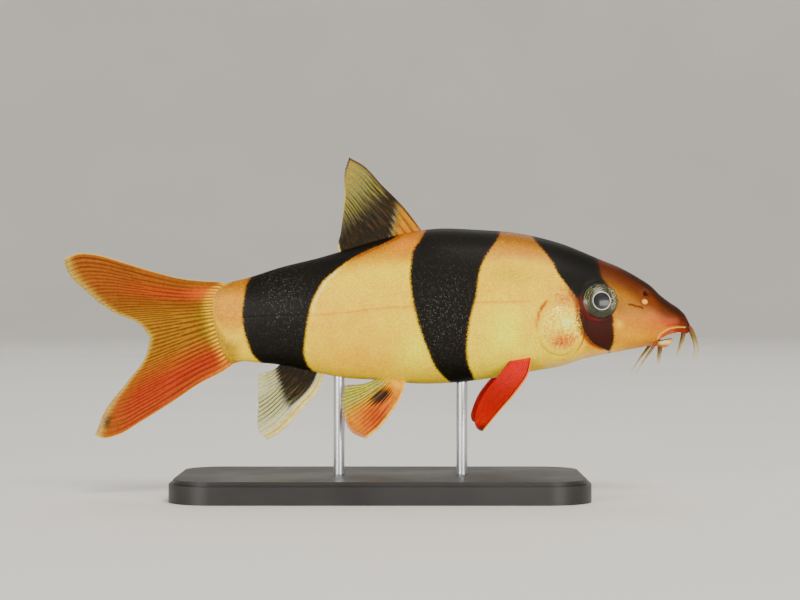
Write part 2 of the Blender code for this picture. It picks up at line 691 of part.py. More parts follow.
def main():
    clear_scene()
    fish = bpy.data.objects.new("clown_loach", None)
    stand = bpy.data.objects.new("stand", None)
    for empty in (fish, stand):
        bpy.context.collection.objects.link(empty)
    fish.location = (0.0, 0.0, AXIS_HEIGHT * MM)

    finish(make_head(), "skin", fish)
    finish(make_torso(), "skin", fish)
    finish(make_tail(), "skin", fish)

    cover = make_gill_cover()
    eye = eye_shape("eye_right", -1.0)
    pairs = [(cover, "gill_cover"), (eye, "eye")]
    for name in ("pelvic_fin", "pectoral_fin"):
        pairs.append((make_fin(name + "_right", right_side(FINS[name])), "red_fin"))
    for name, knots in BARBELS.items():
        pairs.append((make_barbel("barbel_" + name + "_right", knots), "barbel"))
    for right, finish_name in pairs:
        left = mirrored(right, right.name.replace("_right", "_left"))
        finish(right, finish_name, fish)
        finish(left, finish_name, fish)

    for name in ("dorsal_fin", "anal_fin"):
        finish(make_fin(name, FINS[name]), "dark_fin", fish)
    for name in ("caudal_fin_upper", "caudal_fin_lower"):
        finish(make_fin(name, FINS[name]), "red_fin", fish)

    finish(make_base(), "stand_base", stand)
    for name, s in RODS.items():
        finish(make_rod(name, s), "stand_rod", stand)


main()
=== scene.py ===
"""The looks of the clown loach and its stand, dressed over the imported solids.

Sizes are in millimetres. S runs back from the tip of the snout, Y to the fish's left
and Z up from the lateral line, as in the part's source; place() turns them into metres.
Colours are written as the eye sees them and turned into the renderer's own values by linear().
In the paint functions a colour is laid on in layers, each with a mask over the fish's own places.
"""
import math

import bmesh
import bpy
import numpy as np
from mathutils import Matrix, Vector


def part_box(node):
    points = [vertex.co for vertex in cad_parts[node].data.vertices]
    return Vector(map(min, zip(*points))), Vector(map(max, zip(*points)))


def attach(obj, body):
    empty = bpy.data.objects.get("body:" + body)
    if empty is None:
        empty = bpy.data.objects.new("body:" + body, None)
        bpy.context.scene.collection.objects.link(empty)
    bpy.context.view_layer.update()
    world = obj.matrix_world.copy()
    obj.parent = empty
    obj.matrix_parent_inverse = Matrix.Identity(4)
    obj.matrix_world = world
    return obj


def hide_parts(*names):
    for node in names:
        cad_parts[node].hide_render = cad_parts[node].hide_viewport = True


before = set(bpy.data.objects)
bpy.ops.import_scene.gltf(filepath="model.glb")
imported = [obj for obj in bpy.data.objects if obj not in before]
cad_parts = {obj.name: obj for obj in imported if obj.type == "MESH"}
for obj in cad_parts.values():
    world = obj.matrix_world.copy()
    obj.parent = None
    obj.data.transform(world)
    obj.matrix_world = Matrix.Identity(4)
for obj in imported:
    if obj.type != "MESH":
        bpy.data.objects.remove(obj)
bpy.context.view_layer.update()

MM = 0.001
SNOUT_X = 55.42
AXIS_HEIGHT = 33.5
SEED = 7

# The body's side outline as (S, Z) and its half width as (S, Y)
BACK = (
    (0.0, -2.7), (0.15, -2.0), (0.5, -1.2), (1.5, 0.0), (3.3, 1.3), (5.1, 2.65), (6.9, 4.4),
    (8.7, 5.6), (12.3, 7.6), (15.9, 9.1), (23.1, 12.0), (30.3, 13.75), (38.0, 14.45), (46.0, 14.6),
    (52.0, 13.6), (59.1, 11.6), (66.3, 9.45), (73.5, 7.65), (79.6, 5.7), (83.0, 4.8),
    (84.6, 4.0), (85.6, 2.6),
)
BELLY = (
    (0.0, -3.4), (0.15, -3.7), (0.6, -3.9), (1.8, -4.0), (2.6, -4.3), (3.1, -5.6), (3.8, -6.55),
    (5.1, -6.6), (6.9, -6.4), (8.7, -6.75), (12.3, -7.4), (18.8, -8.75), (23.1, -10.1), (28.0, -11.0),
    (33.9, -12.0), (41.1, -12.95), (48.3, -13.25), (55.5, -12.6), (62.7, -12.1),
    (67.2, -11.15), (72.6, -10.0), (79.8, -9.2), (83.3, -8.6), (84.5, -6.1), (85.6, -2.0),
)
HALF_WIDTH = (
    (0.0, 0.6), (0.15, 1.3), (0.5, 2.0), (1.5, 2.65), (3.0, 3.1), (5.0, 3.6), (8.7, 4.3), (12.3, 4.95),
    (16.0, 5.5), (20.0, 6.1), (25.0, 6.7), (31.0, 7.0), (40.0, 7.1), (48.0, 6.9), (57.0, 6.1),
    (66.0, 4.8), (74.0, 3.5), (79.5, 2.4), (82.0, 1.45), (84.2, 0.6), (85.6, 0.1),
)
# Height of the widest level of each section, and how square it is over and under that level
WIDEST = (
    (0.0, -3.0), (2.0, -2.5), (5.0, -2.2), (9.0, -1.7), (16.0, -1.2), (30.0, -0.8), (45.0, -0.65),
    (60.0, -1.0), (72.0, -1.3), (80.0, -1.8), (84.0, -1.6), (85.6, 0.2),
)
UPPER_SQUARENESS = ((0.0, 2.4), (12.0, 2.2), (30.0, 2.1), (86.0, 2.1))
LOWER_SQUARENESS = ((0.0, 2.4), (12.0, 2.6), (40.0, 2.5), (66.0, 2.2), (86.0, 2.1))
BODY_END = 85.6
# Where the flesh ends in the tail fin, as (Z, S)
FLESH_END = ((-9.0, 83.0), (-6.1, 84.5), (-2.0, 85.6), (2.6, 85.6), (4.0, 84.6), (4.8, 83.0))

# The mesh of the skin: fine at the tip of the snout and over the head, coarser on the flank
TIP_END = 0.9
TIP_ROWS = 16
HEAD_END = 27.0
HEAD_STEP = 0.13
FLANK_STEP = 0.42
HALF_RING = 120
# Steps down a section before it is divided evenly, along each lip, and round a quarter circle
FINE_RING = 720
UPPER_LIP_STEPS = 24
LOWER_LIP_STEPS = 16
ARC_STEPS = 24
# Edges of the skin that turn more than this, as round the mouth, show as creases
SKIN_CREASE = math.radians(50.0)
# Half the length of the bar that cuts the mouth
MOUTH_BAR = 7.0
# Stands for far away, as a share of the eye's size and as a depth outside the bands in millimetres
FAR = 9.0

GILL_CENTRE = (23.4, -3.0)
GILL_REAR = 4.3
GILL_FRONT = 3.8
GILL_TOP = 5.6
GILL_BOTTOM = 5.1

EYE_CENTRE = (16.47, 4.9, 1.59)
EYE_RADII = (3.45, 1.4, 3.2)
EYE_TURN_FORWARD = math.radians(8.0)
EYE_TURN_UP = math.radians(8.0)
# The pupil lies a little ahead of the eye's middle
PUPIL_SHIFT = (-0.12, -0.08)
# How far inwards of the eye's middle the skin still belongs to its socket
SOCKET_DEPTH = 2.5
EYE_RINGS = 72
EYE_SIDES = 112

NOSTRIL_PIT = (8.1, 2.9)
NOSTRIL_FLAP = (8.3, 1.5)
NOSTRIL_FLAP_RADII = (0.62, 0.52)
UNDER_EYE_SLIT = ((8.7, 0.35), (9.2, 0.6), (9.9, 0.68), (10.5, 0.95), (11.2, 1.0))
LIP_LINE = ((6.0, -5.1), (5.5, -4.35), (4.6, -3.7), (3.7, -3.3), (2.5, -3.05), (0.9, -3.1))
OPERCLE_EGG = (23.3, -3.1)
OPERCLE_RADII = (3.6, 4.1)
MOUTH_EDGE = (
    (-1.5, -4.75), (1.6, -4.4), (3.0, -4.1), (4.3, -4.5), (5.5, -5.15), (6.05, -5.5),
    (5.5, -5.62), (4.3, -5.35), (3.0, -5.1), (1.6, -5.4), (-1.5, -6.4),
)
UPPER_LIP = (
    (5.7, 2.95, -5.0), (4.6, 2.98, -4.35), (3.3, 2.7, -3.9), (2.0, 2.15, -3.7), (0.9, 1.5, -3.65),
    (0.3, 0.7, -3.55), (0.15, 0.0, -3.5),
)
LOWER_LIP = (
    (5.2, 2.5, -5.8), (4.5, 2.4, -5.75), (3.8, 2.0, -5.7), (3.25, 1.1, -5.65), (3.1, 0.0, -5.6),
)
LATERAL_LINE = ((27.0, 1.6), (38.0, 1.3), (53.6, 0.4), (67.0, -0.9), (76.0, -1.2), (84.0, -1.6))

# Edges of the three black bands on the flank, as (Z, S) from belly to back
REAR_BAND_FRONT = (
    (-13.0, 65.6), (-11.5, 67.0), (-10.8, 67.7), (-9.3, 68.6), (-4.4, 68.7), (-1.8, 68.3), (1.3, 67.6),
    (3.6, 66.5), (5.4, 65.3), (7.0, 63.5), (9.5, 60.0), (10.9, 57.3), (12.0, 54.6), (13.1, 52.6),
    (14.0, 51.6),
)
REAR_BAND_REAR = (
    (-12.0, 74.8), (-9.2, 77.2), (-8.1, 78.3), (-6.3, 79.1), (-3.6, 79.9), (-0.9, 80.2), (1.8, 80.0),
    (4.5, 79.5), (6.0, 78.7), (9.0, 77.5),
)
MIDDLE_BAND_FRONT = (
    (-14.0, 38.2), (-12.1, 38.7), (-9.7, 39.7), (-7.1, 40.1), (-4.4, 39.9), (-1.7, 39.5), (2.7, 38.4),
    (7.1, 37.7), (8.9, 37.0), (10.7, 35.9), (12.5, 34.6), (15.0, 33.6),
)
MIDDLE_BAND_REAR = (
    (-14.0, 41.6), (-12.9, 43.0), (-11.0, 45.0), (-7.1, 47.0), (-1.7, 48.9), (3.6, 50.0), (6.2, 50.2),
    (8.5, 50.0), (10.7, 49.6), (12.5, 48.4), (15.0, 47.0),
)
HEAD_BAND_FRONT = (
    (-7.4, 14.4), (-5.9, 13.9), (-2.6, 14.0), (0.5, 14.2), (4.5, 14.9), (5.7, 15.8), (7.2, 16.2),
    (9.0, 16.5), (12.0, 17.2),
)
HEAD_BAND_REAR = (
    (-7.4, 14.6), (-6.9, 15.7), (-6.2, 17.2), (-4.9, 18.6), (-3.5, 19.5), (-2.1, 20.0), (2.2, 20.7),
    (3.6, 21.8), (6.8, 24.1), (8.6, 24.9), (10.2, 26.1), (12.0, 27.5), (14.0, 28.6),
)

# Soft spots of colour on the flank: colour, strength, centre (S, Z) and radii. The orange and yellow spots
# are the fish's own colour. The pale ones are painted light: a broad painted highlight along the upper middle
# of the flank, and a painted glow of light through the lower flank and shoulder.
FLANK_SPOTS_AND_PAINTED_LIGHT = (
    ("ECA018", 0.7, (51.5, 12.4), (5.0, 2.4)), ("F6E080", 0.9, (57.5, 5.8), (9.0, 3.0)),
    ("FFF27A", 0.95, (49.8, -7.0), (2.6, 3.2)), ("FBE27A", 0.6, (52.0, -2.0), (5.0, 3.0)),
    ("F2C428", 0.8, (60.0, -8.6), (7.0, 3.0)), ("DCC468", 0.8, (32.0, 6.4), (4.0, 2.0)),
    ("FFF696", 0.95, (33.0, -3.6), (4.6, 4.6)), ("FBD84A", 0.9, (28.8, -3.0), (1.6, 5.0)),
    ("FFE890", 0.85, (33.0, -9.5), (8.0, 3.0)),
)

# Where the two lobes of the tail fin part: the end of the flesh's middle, and the bottom of the fork
FORK_ROOT = (83.2, 0.0, -1.4)
FORK = (96.9, 0.0, -5.0)

# A fin is a patch between four edges, each a curve through (S, Y, Z) points: the leading and the trailing
# edge from root to tip, and the root and the margin from the one to the other, given without their ends.
FINS = {
    "dorsal_fin": dict(
        rays=11, forks=(0.4,),
        leading=((47.0, 0, 12.9), (51.6, 0, 18.9), (55.2, 0, 22.5), (58.6, 0, 26.1), (61.1, 0, 27.5)),
        trailing=((62.4, 0, 8.9), (63.1, 0, 11.5), (62.6, 0, 13.8)),
        root=((55.0, 0, 11.2),),
        margin=((61.8, 0, 25.4), (62.0, 0, 20.0)),
    ),
    "caudal_fin_upper": dict(
        rays=13, forks=(0.35, 0.78),
        leading=(
            (80.9, 0, 3.7), (84.2, 0, 5.0), (87.0, 0, 5.2), (91.5, 0, 5.7), (96.9, 0, 7.1),
            (102.3, 0, 8.8), (106.8, 0, 10.05), (109.9, 0, 10.2), (112.48, 0, 9.2),
        ),
        trailing=(FORK_ROOT, FORK),
        root=((82.6, 0, 1.4),),
        margin=((112.0, 0, 7.3), (108.6, 0, 3.4), (103.8, 0, -0.3), (98.6, 0, -2.8)),
    ),
    "caudal_fin_lower": dict(
        rays=12, forks=(0.35, 0.78),
        leading=(FORK_ROOT, FORK),
        trailing=(
            (79.6, 0, -7.7), (83.4, 0, -10.8), (87.9, 0, -13.2), (93.3, 0, -16.8),
            (98.7, 0, -20.2), (102.7, 0, -22.5), (105.4, 0, -23.1), (106.9, 0, -22.6),
        ),
        root=((82.6, 0, -4.8),),
        margin=((97.9, 0, -8.6), (101.2, 0, -13.0), (105.0, 0, -18.0)),
    ),
    "anal_fin": dict(
        rays=8, forks=(0.35,),
        leading=((65.3, 0, -9.8), (66.3, 0, -13.9), (69.9, 0, -18.3), (73.5, 0, -22.1), (75.8, 0, -23.3)),
        trailing=((72.3, 0, -8.4), (74.8, 0, -10.8), (77.6, 0, -11.5)),
        root=((69.0, 0, -9.0),),
        margin=((77.2, 0, -22.0), (77.5, 0, -17.0)),
    ),
    "pelvic_fin": dict(
        rays=8, forks=(0.35,),
        leading=(
            (50.6, 2.1, -11.7), (51.9, 3.6, -15.8), (53.7, 4.9, -18.6), (55.8, 6.0, -21.1),
            (58.1, 6.8, -22.8),
        ),
        trailing=((54.0, 1.8, -11.1), (58.0, 2.2, -13.2), (61.9, 2.6, -13.6)),
        root=((52.3, 2.0, -11.5),),
        margin=((60.5, 6.0, -21.7), (62.1, 4.6, -18.6), (62.4, 3.5, -15.8)),
    ),
    "pectoral_fin": dict(
        rays=13, forks=(0.45,),
        leading=(
            (28.4, 4.7, -7.3), (29.2, 7.2, -11.2), (31.6, 9.8, -14.5), (34.5, 12.0, -17.6),
            (37.6, 13.6, -21.1),
        ),
        trailing=((31.4, 4.8, -7.7), (34.6, 6.6, -11.6), (37.6, 7.6, -15.6), (38.5, 8.2, -17.8)),
        root=((29.9, 4.8, -7.5),),
        margin=((38.5, 12.0, -20.7), (38.9, 10.2, -19.6)),
    ),
}
# Both lobes' rays together, the height over which they leave the flesh, and the sideways wave of the tip
TAIL_RAYS = 25
TAIL_ROOT_HEIGHT = 11.4
TAIL_WAVE = 0.25
FIN_ROWS = 84
COLUMNS_PER_RAY = 16
# Half thickness of the membrane, of a ray over it, and of the flesh at a fin's root
MEMBRANE = 0.05
RAY = 0.045
FIN_ROOT = 0.22
# The share of a fin over which its edges grow thin, and how far its margin is drawn in between rays
THIN_EDGE = 0.02
MARGIN_NOTCH = 0.09

BARBELS = {
    "rostral_outer": (
        (1.0, 1.2, -2.4), (0.0, 1.5, -3.1), (-0.9, 1.9, -4.75), (-1.4, 2.3, -6.9), (-1.2, 2.6, -9.0),
    ),
    "rostral_inner": ((0.7, 0.85, -2.9), (0.85, 0.9, -3.9), (1.35, 1.05, -5.95), (2.1, 1.3, -8.4)),
    "maxillary": ((5.7, 2.3, -5.1), (6.7, 3.1, -6.5), (8.2, 3.7, -8.6), (9.9, 4.3, -11.2)),
    "mandibular": ((5.1, 1.2, -6.0), (5.15, 1.25, -6.9), (5.3, 1.4, -8.3), (5.45, 1.6, -9.8)),
}
BARBEL_ROOT_RADIUS = 0.42
BARBEL_TIP_RADIUS = 0.07
BARBEL_RINGS = 48
BARBEL_SIDES = 20

# The stand, from the solids' own boxes; a rod sinks into the base and the belly
ROD_RADIUS = 1.0
ROD_FOOT = 1.2
ROD_SINK = 0.6
ROD_RINGS = 24
ROD_SIDES = 48
BASE_CORNER_RADIUS = 8.0
BASE_EDGE_ROUNDING = 0.8
BASE_EDGE_STEPS = 8
BASE_CREASE = math.radians(35.0)

# The studio's floor and its raised rim, in metres
FLOOR_RADIUS = 1.8
RIM_TURN = 0.9
RIM_HEIGHT = 1.4
FLOOR_SIDES = 96

# Each lamp's name, place, width and height in metres, power in watts and colour
LAMPS = (
    ("key", (0.32, -0.84, 1.12), (0.56, 0.56), 11.0, (1.0, 0.97, 0.92)),
    ("fill", (-0.8, -1.1, 0.24), (0.72, 0.4), 10.0, (1.0, 0.98, 0.96)),
    ("low", (0.7, -1.15, 0.2), (0.6, 0.34), 8.5, (1.0, 0.98, 0.94)),
    ("rear", (0.2, 1.1, 1.3), (0.8, 0.6), 5.0, (1.0, 0.98, 0.96)),
    ("top", (0.0, 0.24, 1.6), (1.4, 1.0), 3.0, (1.0, 0.99, 0.97)),
)
LAMPS_AIM = (0.0, 0.0, 0.035)
SKY_COLOUR = (1.0, 0.99, 0.97, 1.0)
SKY_STRENGTH = 0.38

# The camera looks level at the fish from its right, as the photo does
CAMERA_LENS = 100.0
CAMERA_DISTANCE = 400.0
CAMERA_S = 51.93
CAMERA_Z = 1.8
CAMERA_REACH = 20.0

# The light and the default view show dark colours brighter and bright ones paler than they are,
# so linear() makes each colour deeper by DEEPEN and scales it by DARK_GAIN, rising with its brightness
DEEPEN = 1.5
DARK_GAIN = 0.66
BRIGHT_GAIN = 0.5
LUMINANCE = np.array((0.2126, 0.7152, 0.0722))


def place(points):
    """World metres of points given as (S, Y, Z) in millimetres."""
    points = np.asarray(points, float)
    return np.stack([SNOUT_X - points[:, 0], points[:, 1], AXIS_HEIGHT + points[:, 2]], axis=1) * MM


def smooth(knots, at):
    """The values at the given places of a smooth curve through (place, value, ...) knots."""
    knots = np.asarray(knots, float)
    where = knots[:, 0]
    values = knots[:, 1:]
    steps = np.diff(where)[:, None]
    slopes = np.diff(values, axis=0) / steps
    inner = (slopes[:-1] * steps[1:] + slopes[1:] * steps[:-1]) / (steps[:-1] + steps[1:])
    tangents = np.vstack([slopes[:1], inner, slopes[-1:]])
    at = np.clip(np.atleast_1d(np.asarray(at, float)), where[0], where[-1])
    index = np.clip(np.searchsorted(where, at, side="right") - 1, 0, len(where) - 2)
    width = steps[index]
    t = (at[:, None] - where[index][:, None]) / width
    low, high = values[index], values[index + 1]
    low_slope, high_slope = tangents[index] * width, tangents[index + 1] * width
    result = (
        (2 * t**3 - 3 * t**2 + 1) * low + (t**3 - 2 * t**2 + t) * low_slope
        + (3 * t**2 - 2 * t**3) * high + (t**3 - t**2) * high_slope
    )
    return result[:, 0] if result.shape[1] == 1 else result


def along(points, share):
    """Points of a smooth curve through the given points, at shares 0 to 1 of its length."""
    points = np.asarray(points, float)
    reach = np.concatenate([[0.0], np.cumsum(np.linalg.norm(np.diff(points, axis=0), axis=1))])
    return smooth(np.column_stack([reach / reach[-1], points]), share)


def unit(vectors):
    """The vectors' directions, as vectors of length 1."""
    return vectors / np.maximum(np.linalg.norm(vectors, axis=-1, keepdims=True), 1e-9)


def step(value, low, high):
    """A soft step from 0 at low to 1 at high, which may be the smaller of the two."""
    share = np.clip((value - low) / (high - low), 0.0, 1.0)
    return share * share * (3.0 - 2.0 * share)


def bell(value, middle, width, power=2):
    """A soft bump, 1 at the middle and about a third at the width from it."""
    return np.exp(-((value - middle) / width) ** power)


def oval(s, z, centre, radii):
    """How far out from an oval's centre (S, Z) each point is, with 1 on its edge."""
    return np.hypot((s - centre[0]) / radii[0], (z - centre[1]) / radii[1])


def spot(s, z, centre, radii):
    """A soft round spot of the flank, 1 at its centre (S, Z)."""
    return np.exp(-((s - centre[0]) / radii[0]) ** 2 - ((z - centre[1]) / radii[1]) ** 2)


def distance_to_path(points, path):
    """Shortest distance of each point to a path of straight steps."""
    path = np.asarray(path, float)
    best = np.full(len(points), np.inf)
    for start, end in zip(path[:-1], path[1:]):
        run = end - start
        share = np.clip((points - start) @ run / (run @ run), 0.0, 1.0)
        best = np.minimum(best, np.linalg.norm(points - start - share[:, None] * run, axis=1))
    return best


def colour(code):
    """Red, green and blue from 0 to 1 of a colour written as six hexadecimal digits."""
    return np.array(list(bytes.fromhex(code))) / 255.0


def linear(values):
    """The renderer's own values of colours, changed so that they show as they are written."""
    values = np.asarray(values, float)
    plain = np.where(values <= 0.04045, values / 12.92, ((values + 0.055) / 1.055) ** 2.4)
    grey = (plain @ LUMINANCE)[..., None]
    deeper = grey + (plain - grey) * DEEPEN
    return np.clip(deeper * (DARK_GAIN + BRIGHT_GAIN * grey), 0.001, 1.0)


def rgba(code):
    return (*linear(colour(code)), 1.0)


def painted(tint, *layers):
    """A tint with layers of (colour code, mask) laid over it in turn."""
    for code, mask in layers:
        mask = np.clip(mask, 0.0, 1.0)[:, None]
        tint = tint * (1.0 - mask) + colour(code) * mask
    return tint


class Shader:
    """A material and short calls for the nodes it is made of."""

    def __init__(self, name):
        self.material = bpy.data.materials.new(name)
        self.material.use_nodes = True
        self.nodes = self.material.node_tree.nodes
        self.links = self.material.node_tree.links
        self.surface = self.nodes["Principled BSDF"]
        self.in_mm = self.scaled(self.node("TexCoord").outputs["Object"], (1.0 / MM, 1.0 / MM, 1.0 / MM))

    def node(self, kind, inputs=None, **settings):
        made = self.nodes.new("ShaderNode" + kind)
        for key, value in settings.items():
            setattr(made, key, value)
        for key, value in (inputs or {}).items():
            self.join(made.inputs[key], value)
        return made

    def join(self, socket, value):
        """Links a socket to another node's, or sets it to a value or to a colour code's colour."""
        if isinstance(value, bpy.types.NodeSocket):
            self.links.new(value, socket)
        else:
            socket.default_value = rgba(value) if isinstance(value, str) else value

    def set(self, **values):
        """Sets or links sockets of the surface shader, with _ for the spaces in their names."""
        for key, value in values.items():
            self.join(self.surface.inputs[key.replace("_", " ")], value)

    def number(self, name):
        return self.node("Attribute", attribute_name=name).outputs["Fac"]

    def tint(self, name):
        return self.node("Attribute", attribute_name=name).outputs["Color"]

    def scaled(self, vector, factors):
        return self.node("VectorMath", {0: vector, 1: factors}, operation="MULTIPLY").outputs[0]

    def math(self, operation, first, second=0.0):
        return self.node("Math", {0: first, 1: second}, operation=operation).outputs[0]

    def plus(self, first, second):
        return self.math("ADD", first, second)

    def times(self, value, *factors):
        for factor in factors:
            value = self.math("MULTIPLY", value, factor)
        return value

    def fade(self, value, low, high, to_low=0.0, to_high=1.0):
        """A soft step of the value from to_low to to_high."""
        inputs = {"Value": value, "From Min": low, "From Max": high, "To Min": to_low, "To Max": to_high}
        return self.node("MapRange", inputs, interpolation_type="SMOOTHSTEP").outputs[0]

    def noise(self, scale, detail=2.0, vector=None, roughness=0.5):
        inputs = {"Vector": vector or self.in_mm, "Scale": scale, "Detail": detail, "Roughness": roughness}
        return self.node("TexNoise", inputs).outputs[0]

    def cells(self, scale):
        """Distance and chance value of small cells, for scales and glitter."""
        made = self.node("TexVoronoi", {"Vector": self.in_mm, "Scale": scale})
        chance = self.node("SeparateColor", {0: made.outputs["Color"]}).outputs[0]
        return made.outputs["Distance"], chance

    def mix(self, share, first, second, blend="MIX"):
        made = self.node("Mix", data_type="RGBA", blend_type=blend)
        for index, value in ((0, share), (6, first), (7, second)):
            self.join(made.inputs[index], value)
        return made.outputs[2]

    def layers(self, shown, *layers):
        """A colour with layers of (share, colour code) or (share, code, blend) laid over it in turn."""
        for share, code, *blend in layers:
            shown = self.mix(share, shown, code, *blend)
        return shown

    def ramp(self, value, stops):
        """A colour ramp of (place, colour code) stops."""
        made = self.node("ValToRGB", {0: value})
        elements = made.color_ramp.elements
        while len(elements) < len(stops):
            elements.new(1.0)
        for element, (where, code) in zip(elements, stops):
            element.position = where
            element.color = rgba(code)
        return made.outputs[0]

    def bump(self, height, strength, distance_mm, onto=None):
        inputs = {"Height": height, "Strength": strength, "Distance": distance_mm * MM}
        if onto is not None:
            inputs["Normal"] = onto
        return self.node("Bump", inputs).outputs[0]


def add_object(name, data):
    made = bpy.data.objects.new(name, data)
    bpy.context.collection.objects.link(made)
    return made


def make_piece(name, points, faces, shade_smooth=True):
    """A mesh object from (S, Y, Z) points and faces, with the normals facing out."""
    mesh = bpy.data.meshes.new(name)
    mesh.from_pydata(place(points).tolist(), [], [tuple(int(index) for index in face) for face in faces])
    edit = bmesh.new()
    edit.from_mesh(mesh)
    bmesh.ops.recalc_face_normals(edit, faces=edit.faces)
    edit.to_mesh(mesh)
    edit.free()
    if shade_smooth:
        mesh.shade_smooth()
    return add_object(name, mesh)


def piece_points(piece):
    """The (S, Y, Z) of a piece's vertices, in millimetres."""
    points = np.empty(len(piece.data.vertices) * 3)
    piece.data.vertices.foreach_get("co", points)
    points = points.reshape(-1, 3) / MM
    return np.stack([SNOUT_X - points[:, 0], points[:, 1], points[:, 2] - AXIS_HEIGHT], axis=1)


def store_numbers(piece, **numbers):
    """Stores numbers for each vertex, which a material reads by their names."""
    for name, values in numbers.items():
        attribute = piece.data.attributes.new(name, "FLOAT", "POINT")
        attribute.data.foreach_set("value", np.asarray(values, float))


def store_tint(piece, name, colours):
    rows = np.column_stack([linear(np.clip(colours, 0.0, 1.0)), np.ones(len(colours))])
    piece.data.attributes.new(name, "FLOAT_COLOR", "POINT").data.foreach_set("color", rows.ravel())


def grid_faces(rows, columns, closed=True, start=0):
    """Quads over rows of points with columns in each, closed into a tube or open."""
    faces = []
    for first in range(start, start + (rows - 1) * columns, columns):
        for column in range(columns if closed else columns - 1):
            a = first + column
            b = first + (column + 1) % columns
            faces.append((a, b, b + columns, a + columns))
    return faces


def fan_faces(tip, first, count):
    """Triangles from a tip to a closed ring of points that starts at first."""
    return [(tip, first + turn, first + (turn + 1) % count) for turn in range(count)]


def section(s):
    """Top, bottom, widest level, half width and the two squarenesses of the body at S."""
    return (
        smooth(BACK, s), smooth(BELLY, s), smooth(WIDEST, s), smooth(HALF_WIDTH, s),
        smooth(UPPER_SQUARENESS, s), smooth(LOWER_SQUARENESS, s),
    )


def surface_y(s, z):
    """How far from the middle plane the body's plain form is, at S and Z."""
    top, bottom, middle, half, upper, lower = section(s)
    z = np.asarray(z, float)
    above = z >= middle
    share = np.where(above, (z - middle) / (top - middle), (middle - z) / (middle - bottom))
    squareness = np.where(above, upper, lower)
    return half * (1.0 - np.clip(share, 0.0, 0.999) ** squareness) ** (1.0 / squareness)


def skin_stations():
    tip = TIP_END * (np.arange(TIP_ROWS) / TIP_ROWS) ** 2
    head = np.arange(TIP_END, HEAD_END, HEAD_STEP)
    flank = np.arange(HEAD_END, BODY_END, FLANK_STEP)
    return np.concatenate([tip, head, flank, [BODY_END]])


def half_rings(stations):
    """Points down the left side of each section, evenly spaced from the back to the belly."""
    angle = np.linspace(math.pi / 2, -math.pi / 2, FINE_RING + 1)
    across, up = np.cos(angle), np.sin(angle)
    top, bottom, middle, half, upper, lower = section(stations)
    rings = np.empty((len(stations), HALF_RING + 1, 3))
    for row, s in enumerate(stations):
        squareness = np.where(up >= 0, upper[row], lower[row])
        height = np.where(up >= 0, top[row] - middle[row], middle[row] - bottom[row])
        y = half[row] * np.abs(across) ** (2.0 / squareness)
        z = middle[row] + np.sign(up) * height * np.abs(up) ** (2.0 / squareness)
        reach = np.concatenate([[0.0], np.cumsum(np.hypot(np.diff(y), np.diff(z)))])
        even = np.linspace(0.0, reach[-1], HALF_RING + 1)
        rings[row, :, 0] = s
        rings[row, :, 1] = np.interp(even, reach, y)
        rings[row, :, 2] = np.interp(even, reach, z)
    rings[:, (0, -1), 1] = 0.0
    return rings


def eye_turn():
    """The rows that turn an eye's own axes into the left side's (S, Y, Z)."""
    forward_cos, forward_sin = math.cos(EYE_TURN_FORWARD), math.sin(EYE_TURN_FORWARD)
    up_cos, up_sin = math.cos(EYE_TURN_UP), math.sin(EYE_TURN_UP)
    about_z = np.array([(forward_cos, -forward_sin, 0.0), (forward_sin, forward_cos, 0.0), (0.0, 0.0, 1.0)])
    about_s = np.array([(1.0, 0.0, 0.0), (0.0, up_cos, -up_sin), (0.0, up_sin, up_cos)])
    return (about_z @ about_s).T


def eye_share(points):
    """How far out from the eye's axis each point is, with 1 at the eye's own rim."""
    folded = points * (1.0, 0.0, 1.0) + np.abs(points) * (0.0, 1.0, 0.0)
    local = (folded - EYE_CENTRE) @ eye_turn().T
    share = np.hypot(local[:, 0] / EYE_RADII[0], local[:, 2] / EYE_RADII[2])
    return np.where(local[:, 1] > -SOCKET_DEPTH, share, FAR)


def gill_share(s, z):
    """Distance from the middle of the gill cover, with 1 on its edge, and the way there as (back, up)."""
    back, up = s - GILL_CENTRE[0], z - GILL_CENTRE[1]
    length = np.where(back > 0, GILL_REAR, GILL_FRONT)
    height = np.where(up > 0, GILL_TOP, GILL_BOTTOM)
    share = np.hypot(back / length, up / height)
    far = np.maximum(np.hypot(back, up), 1e-6)
    return share, back / far, up / far


def lip_distances(points):
    """Distance of each point from the upper lip, the lower lip and, seen from the side, the lip line."""
    return (
        distance_to_path(points, along(UPPER_LIP, np.linspace(0.0, 1.0, UPPER_LIP_STEPS))),
        distance_to_path(points, along(LOWER_LIP, np.linspace(0.0, 1.0, LOWER_LIP_STEPS))),
        distance_to_path(points[:, [0, 2]], LIP_LINE),
    )


def nostril_distances(s, z):
    """Distance from the middle of the nostril's pit, and from its flap with 1 on the flap's edge."""
    pit = np.hypot(s - NOSTRIL_PIT[0], z - NOSTRIL_PIT[1])
    return pit, oval(s, z, NOSTRIL_FLAP, NOSTRIL_FLAP_RADII)


def fin_edges(fin):
    """A fin's leading edge, trailing edge, root and margin, the last two with the ends they share."""
    leading, trailing = fin["leading"], fin["trailing"]
    root = (leading[0], *fin["root"], trailing[0])
    margin = (leading[-1], *fin["margin"], trailing[-1])
    return leading, trailing, root, margin


